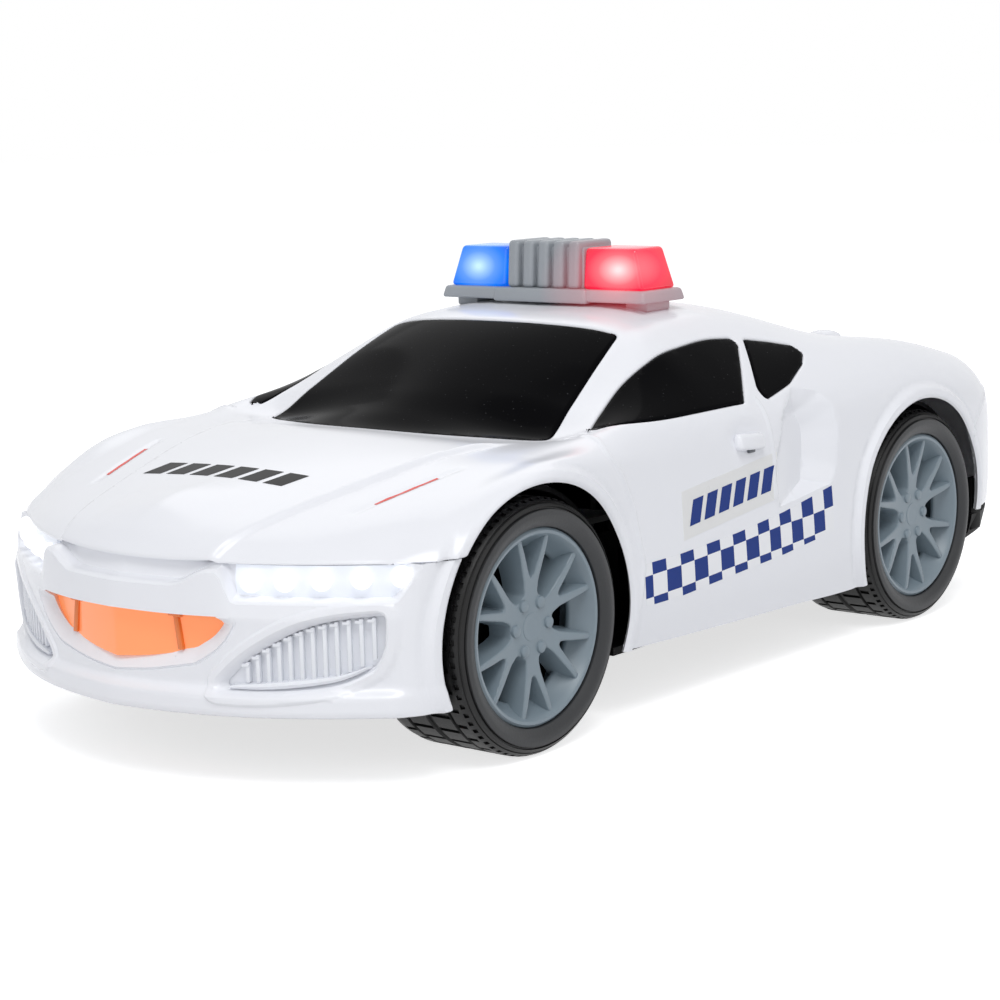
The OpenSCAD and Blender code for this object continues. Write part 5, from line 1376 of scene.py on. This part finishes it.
# black valance under the rear bumper
rearValance = {"start": 113.0, "step": 1.6, "drop": 4.6, "dropFrom": (5.3, 6.0), "tuck": 1.2,
    "tuckFrom": (5.5, 6.0), "inset": 0.3, "gap": 0.25, "archGap": 0.6, "wall": 1.8,
    "backHalf": (56.5, 2.3), "backPlace": (160.6, 25.1), "flaps": (-54, 54), "flapSize": (27, 1.6, 13),
    "flapPlace": (127.6, 25.2), "tabSize": (2.4, 6, 16), "tabPlace": (129.4, 29), "tabOut": 1.265}


def buildValance(s):
    bm = skinSheet(s["start"], carBody["tailEnd"], s["step"])
    low = lambda p: valanceField(p) + s["gap"]
    score(bm, low, 0)
    dropFaces(bm, low, True)
    around = np.abs(places(bm)[0])

    def lift(p, n, side):
        out = np.zeros_like(p)
        out[:, 2] = -s["drop"] * smoothStep(*s["dropFrom"], around)
        out[:, 0] = -side * s["tuck"] * smoothStep(*s["tuckFrom"], around) - side * s["inset"]
        return out

    settle(bm, lift)
    y, z = axleAt["rear"]
    dropFaces(bm, lambda p: np.hypot(p[:, 1] - y, p[:, 2] - z) - carBody["archRadius"] + s["archGap"])
    turnOut(bm, rearBumper["inside"])
    half, (y, z) = s["backHalf"], s["backPlace"]
    back = gridSheet(bm, (40, 2), lambda u, w: (u * half[0], y + tailBow(u * half[0]), z + w * half[1]))
    bmesh.ops.recalc_face_normals(bm, faces=list({f for v in back for f in v.link_faces}))
    bm = wall(bm, s["wall"])
    for x in s["flaps"]:
        block(bm, s["flapSize"], (x, *s["flapPlace"]), 0.3)
        block(bm, s["tabSize"], (x * s["tabOut"], *s["tabPlace"]), 0.3)
    finishPiece(bm, "rearValance", "chassisBlack", "car", (), 34)


buildValance(rearValance)
print("trim built")

# floor, world and lights; a light is its power, place and size
studio = {"floor": 0.84, "floorSpread": 0.01, "floorSize": 6.0, "floorLift": 0.7, "world": 0.44,
    "sky": (0.93, 0.95, 1.0, 1), "aim": (0, 0, 0.05)}
studioLights = {"keyLight": (7.0, (0.55, -0.55, 1.2), 0.6), "fillLight": (1.4, (1.2, 0.1, 0.7), 0.8),
    "rimLight": (2.0, (-0.6, 0.7, 1.0), 0.9), "noseLight": (2.2, (0.1, -1.3, 0.35), 0.9)}


def seenMix(tree, unseen, seen, output):
    # one shader lights the part, the other is what the camera and the reflections see
    path = addNode(tree, "LightPath", {}).outputs
    mirror = mathNode(tree, "MAXIMUM", path["Is Glossy Ray"], path["Is Transmission Ray"])
    mix = addNode(tree, "MixShader", {"Fac": mathNode(tree, "MAXIMUM", path["Is Camera Ray"], mirror),
                                      1: unseen.outputs[0], 2: seen.outputs[0]})
    tree.links.new(mix.outputs[0], tree.nodes[output].inputs["Surface"])


def buildFloor(s):
    bm = bmesh.new()
    bmesh.ops.create_grid(bm, x_segments=2, y_segments=2, size=s["floorSize"])
    mesh = bpy.data.meshes.new("studioFloor")
    bm.to_mesh(mesh)
    bm.free()
    mat, t, shader, place = newMaterial("floorPaper")
    tone = rangeNode(t, s["floor"] - s["floorSpread"], s["floor"] + s["floorSpread"], noiseNode(t, place, 6.0))
    feed(t, shader, {"Base Color": tone, "Roughness": 0.9, "Specular IOR Level": 0.0})
    # the seen paper is lifted to white and keeps the shadow
    lift = addNode(t, "Emission", {"Strength": s["floorLift"]})
    seenMix(t, shader, addNode(t, "AddShader", {0: shader.outputs[0], 1: lift.outputs[0]}), "Material Output")
    mesh.materials.append(mat)
    link(bpy.data.objects.new("studioFloor", mesh))


def buildWorld(s):
    world = bpy.data.worlds.new("studioWorld")
    bpy.context.scene.world = world
    world.use_nodes = True
    t = world.node_tree
    sky = feed(t, t.nodes["Background"], {"Color": s["sky"], "Strength": s["world"]})
    white = addNode(t, "Background", {"Color": (1, 1, 1, 1), "Strength": 1.0})
    seenMix(t, sky, white, "World Output")


def buildLights(s, lights):
    for name, (power, place, size) in lights.items():
        data = bpy.data.lights.new(name, "AREA")
        data.energy = power
        data.size = size
        lamp = link(bpy.data.objects.new(name, data))
        lamp.location = place
        lamp.rotation_euler = (Vector(s["aim"]) - Vector(place)).to_track_quat("-Z", "Y").to_euler()


buildFloor(studio)
buildWorld(studio)
buildLights(studio, studioLights)
bpy.context.scene.view_settings.view_transform = "Standard"
print("studio set")

# finishes for the solids that stay
nodeFinish = {"chassisBlack": ["chassis", "rear_diffuser", "battery_cover"],
    "boardGreen": ["headlamp_board_left", "headlamp_board_right", "lightbar_board", "button_board",
        "circuit_board"],
    "steel": ["lightbar_screws", "front_axle", "rear_axle", "front_washers", "rear_washers", "idler_pin",
        "gearbox_screws", "battery_contacts", "body_screws"],
    "darkPlastic": ["gearbox_left", "gearbox_right", "speaker", "power_switch"],
    "gearWhite": ["axle_gear", "idler_gear"], "flywheelMetal": ["flywheel"], "cellJacket": ["batteries"],
    "dialGrey": ["power_slider"]}
for mat, nodes in nodeFinish.items():
    for node in nodes:
        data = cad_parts[node].data
        data.materials.clear()
        data.materials.append(finishes[mat])
print("solids finished")
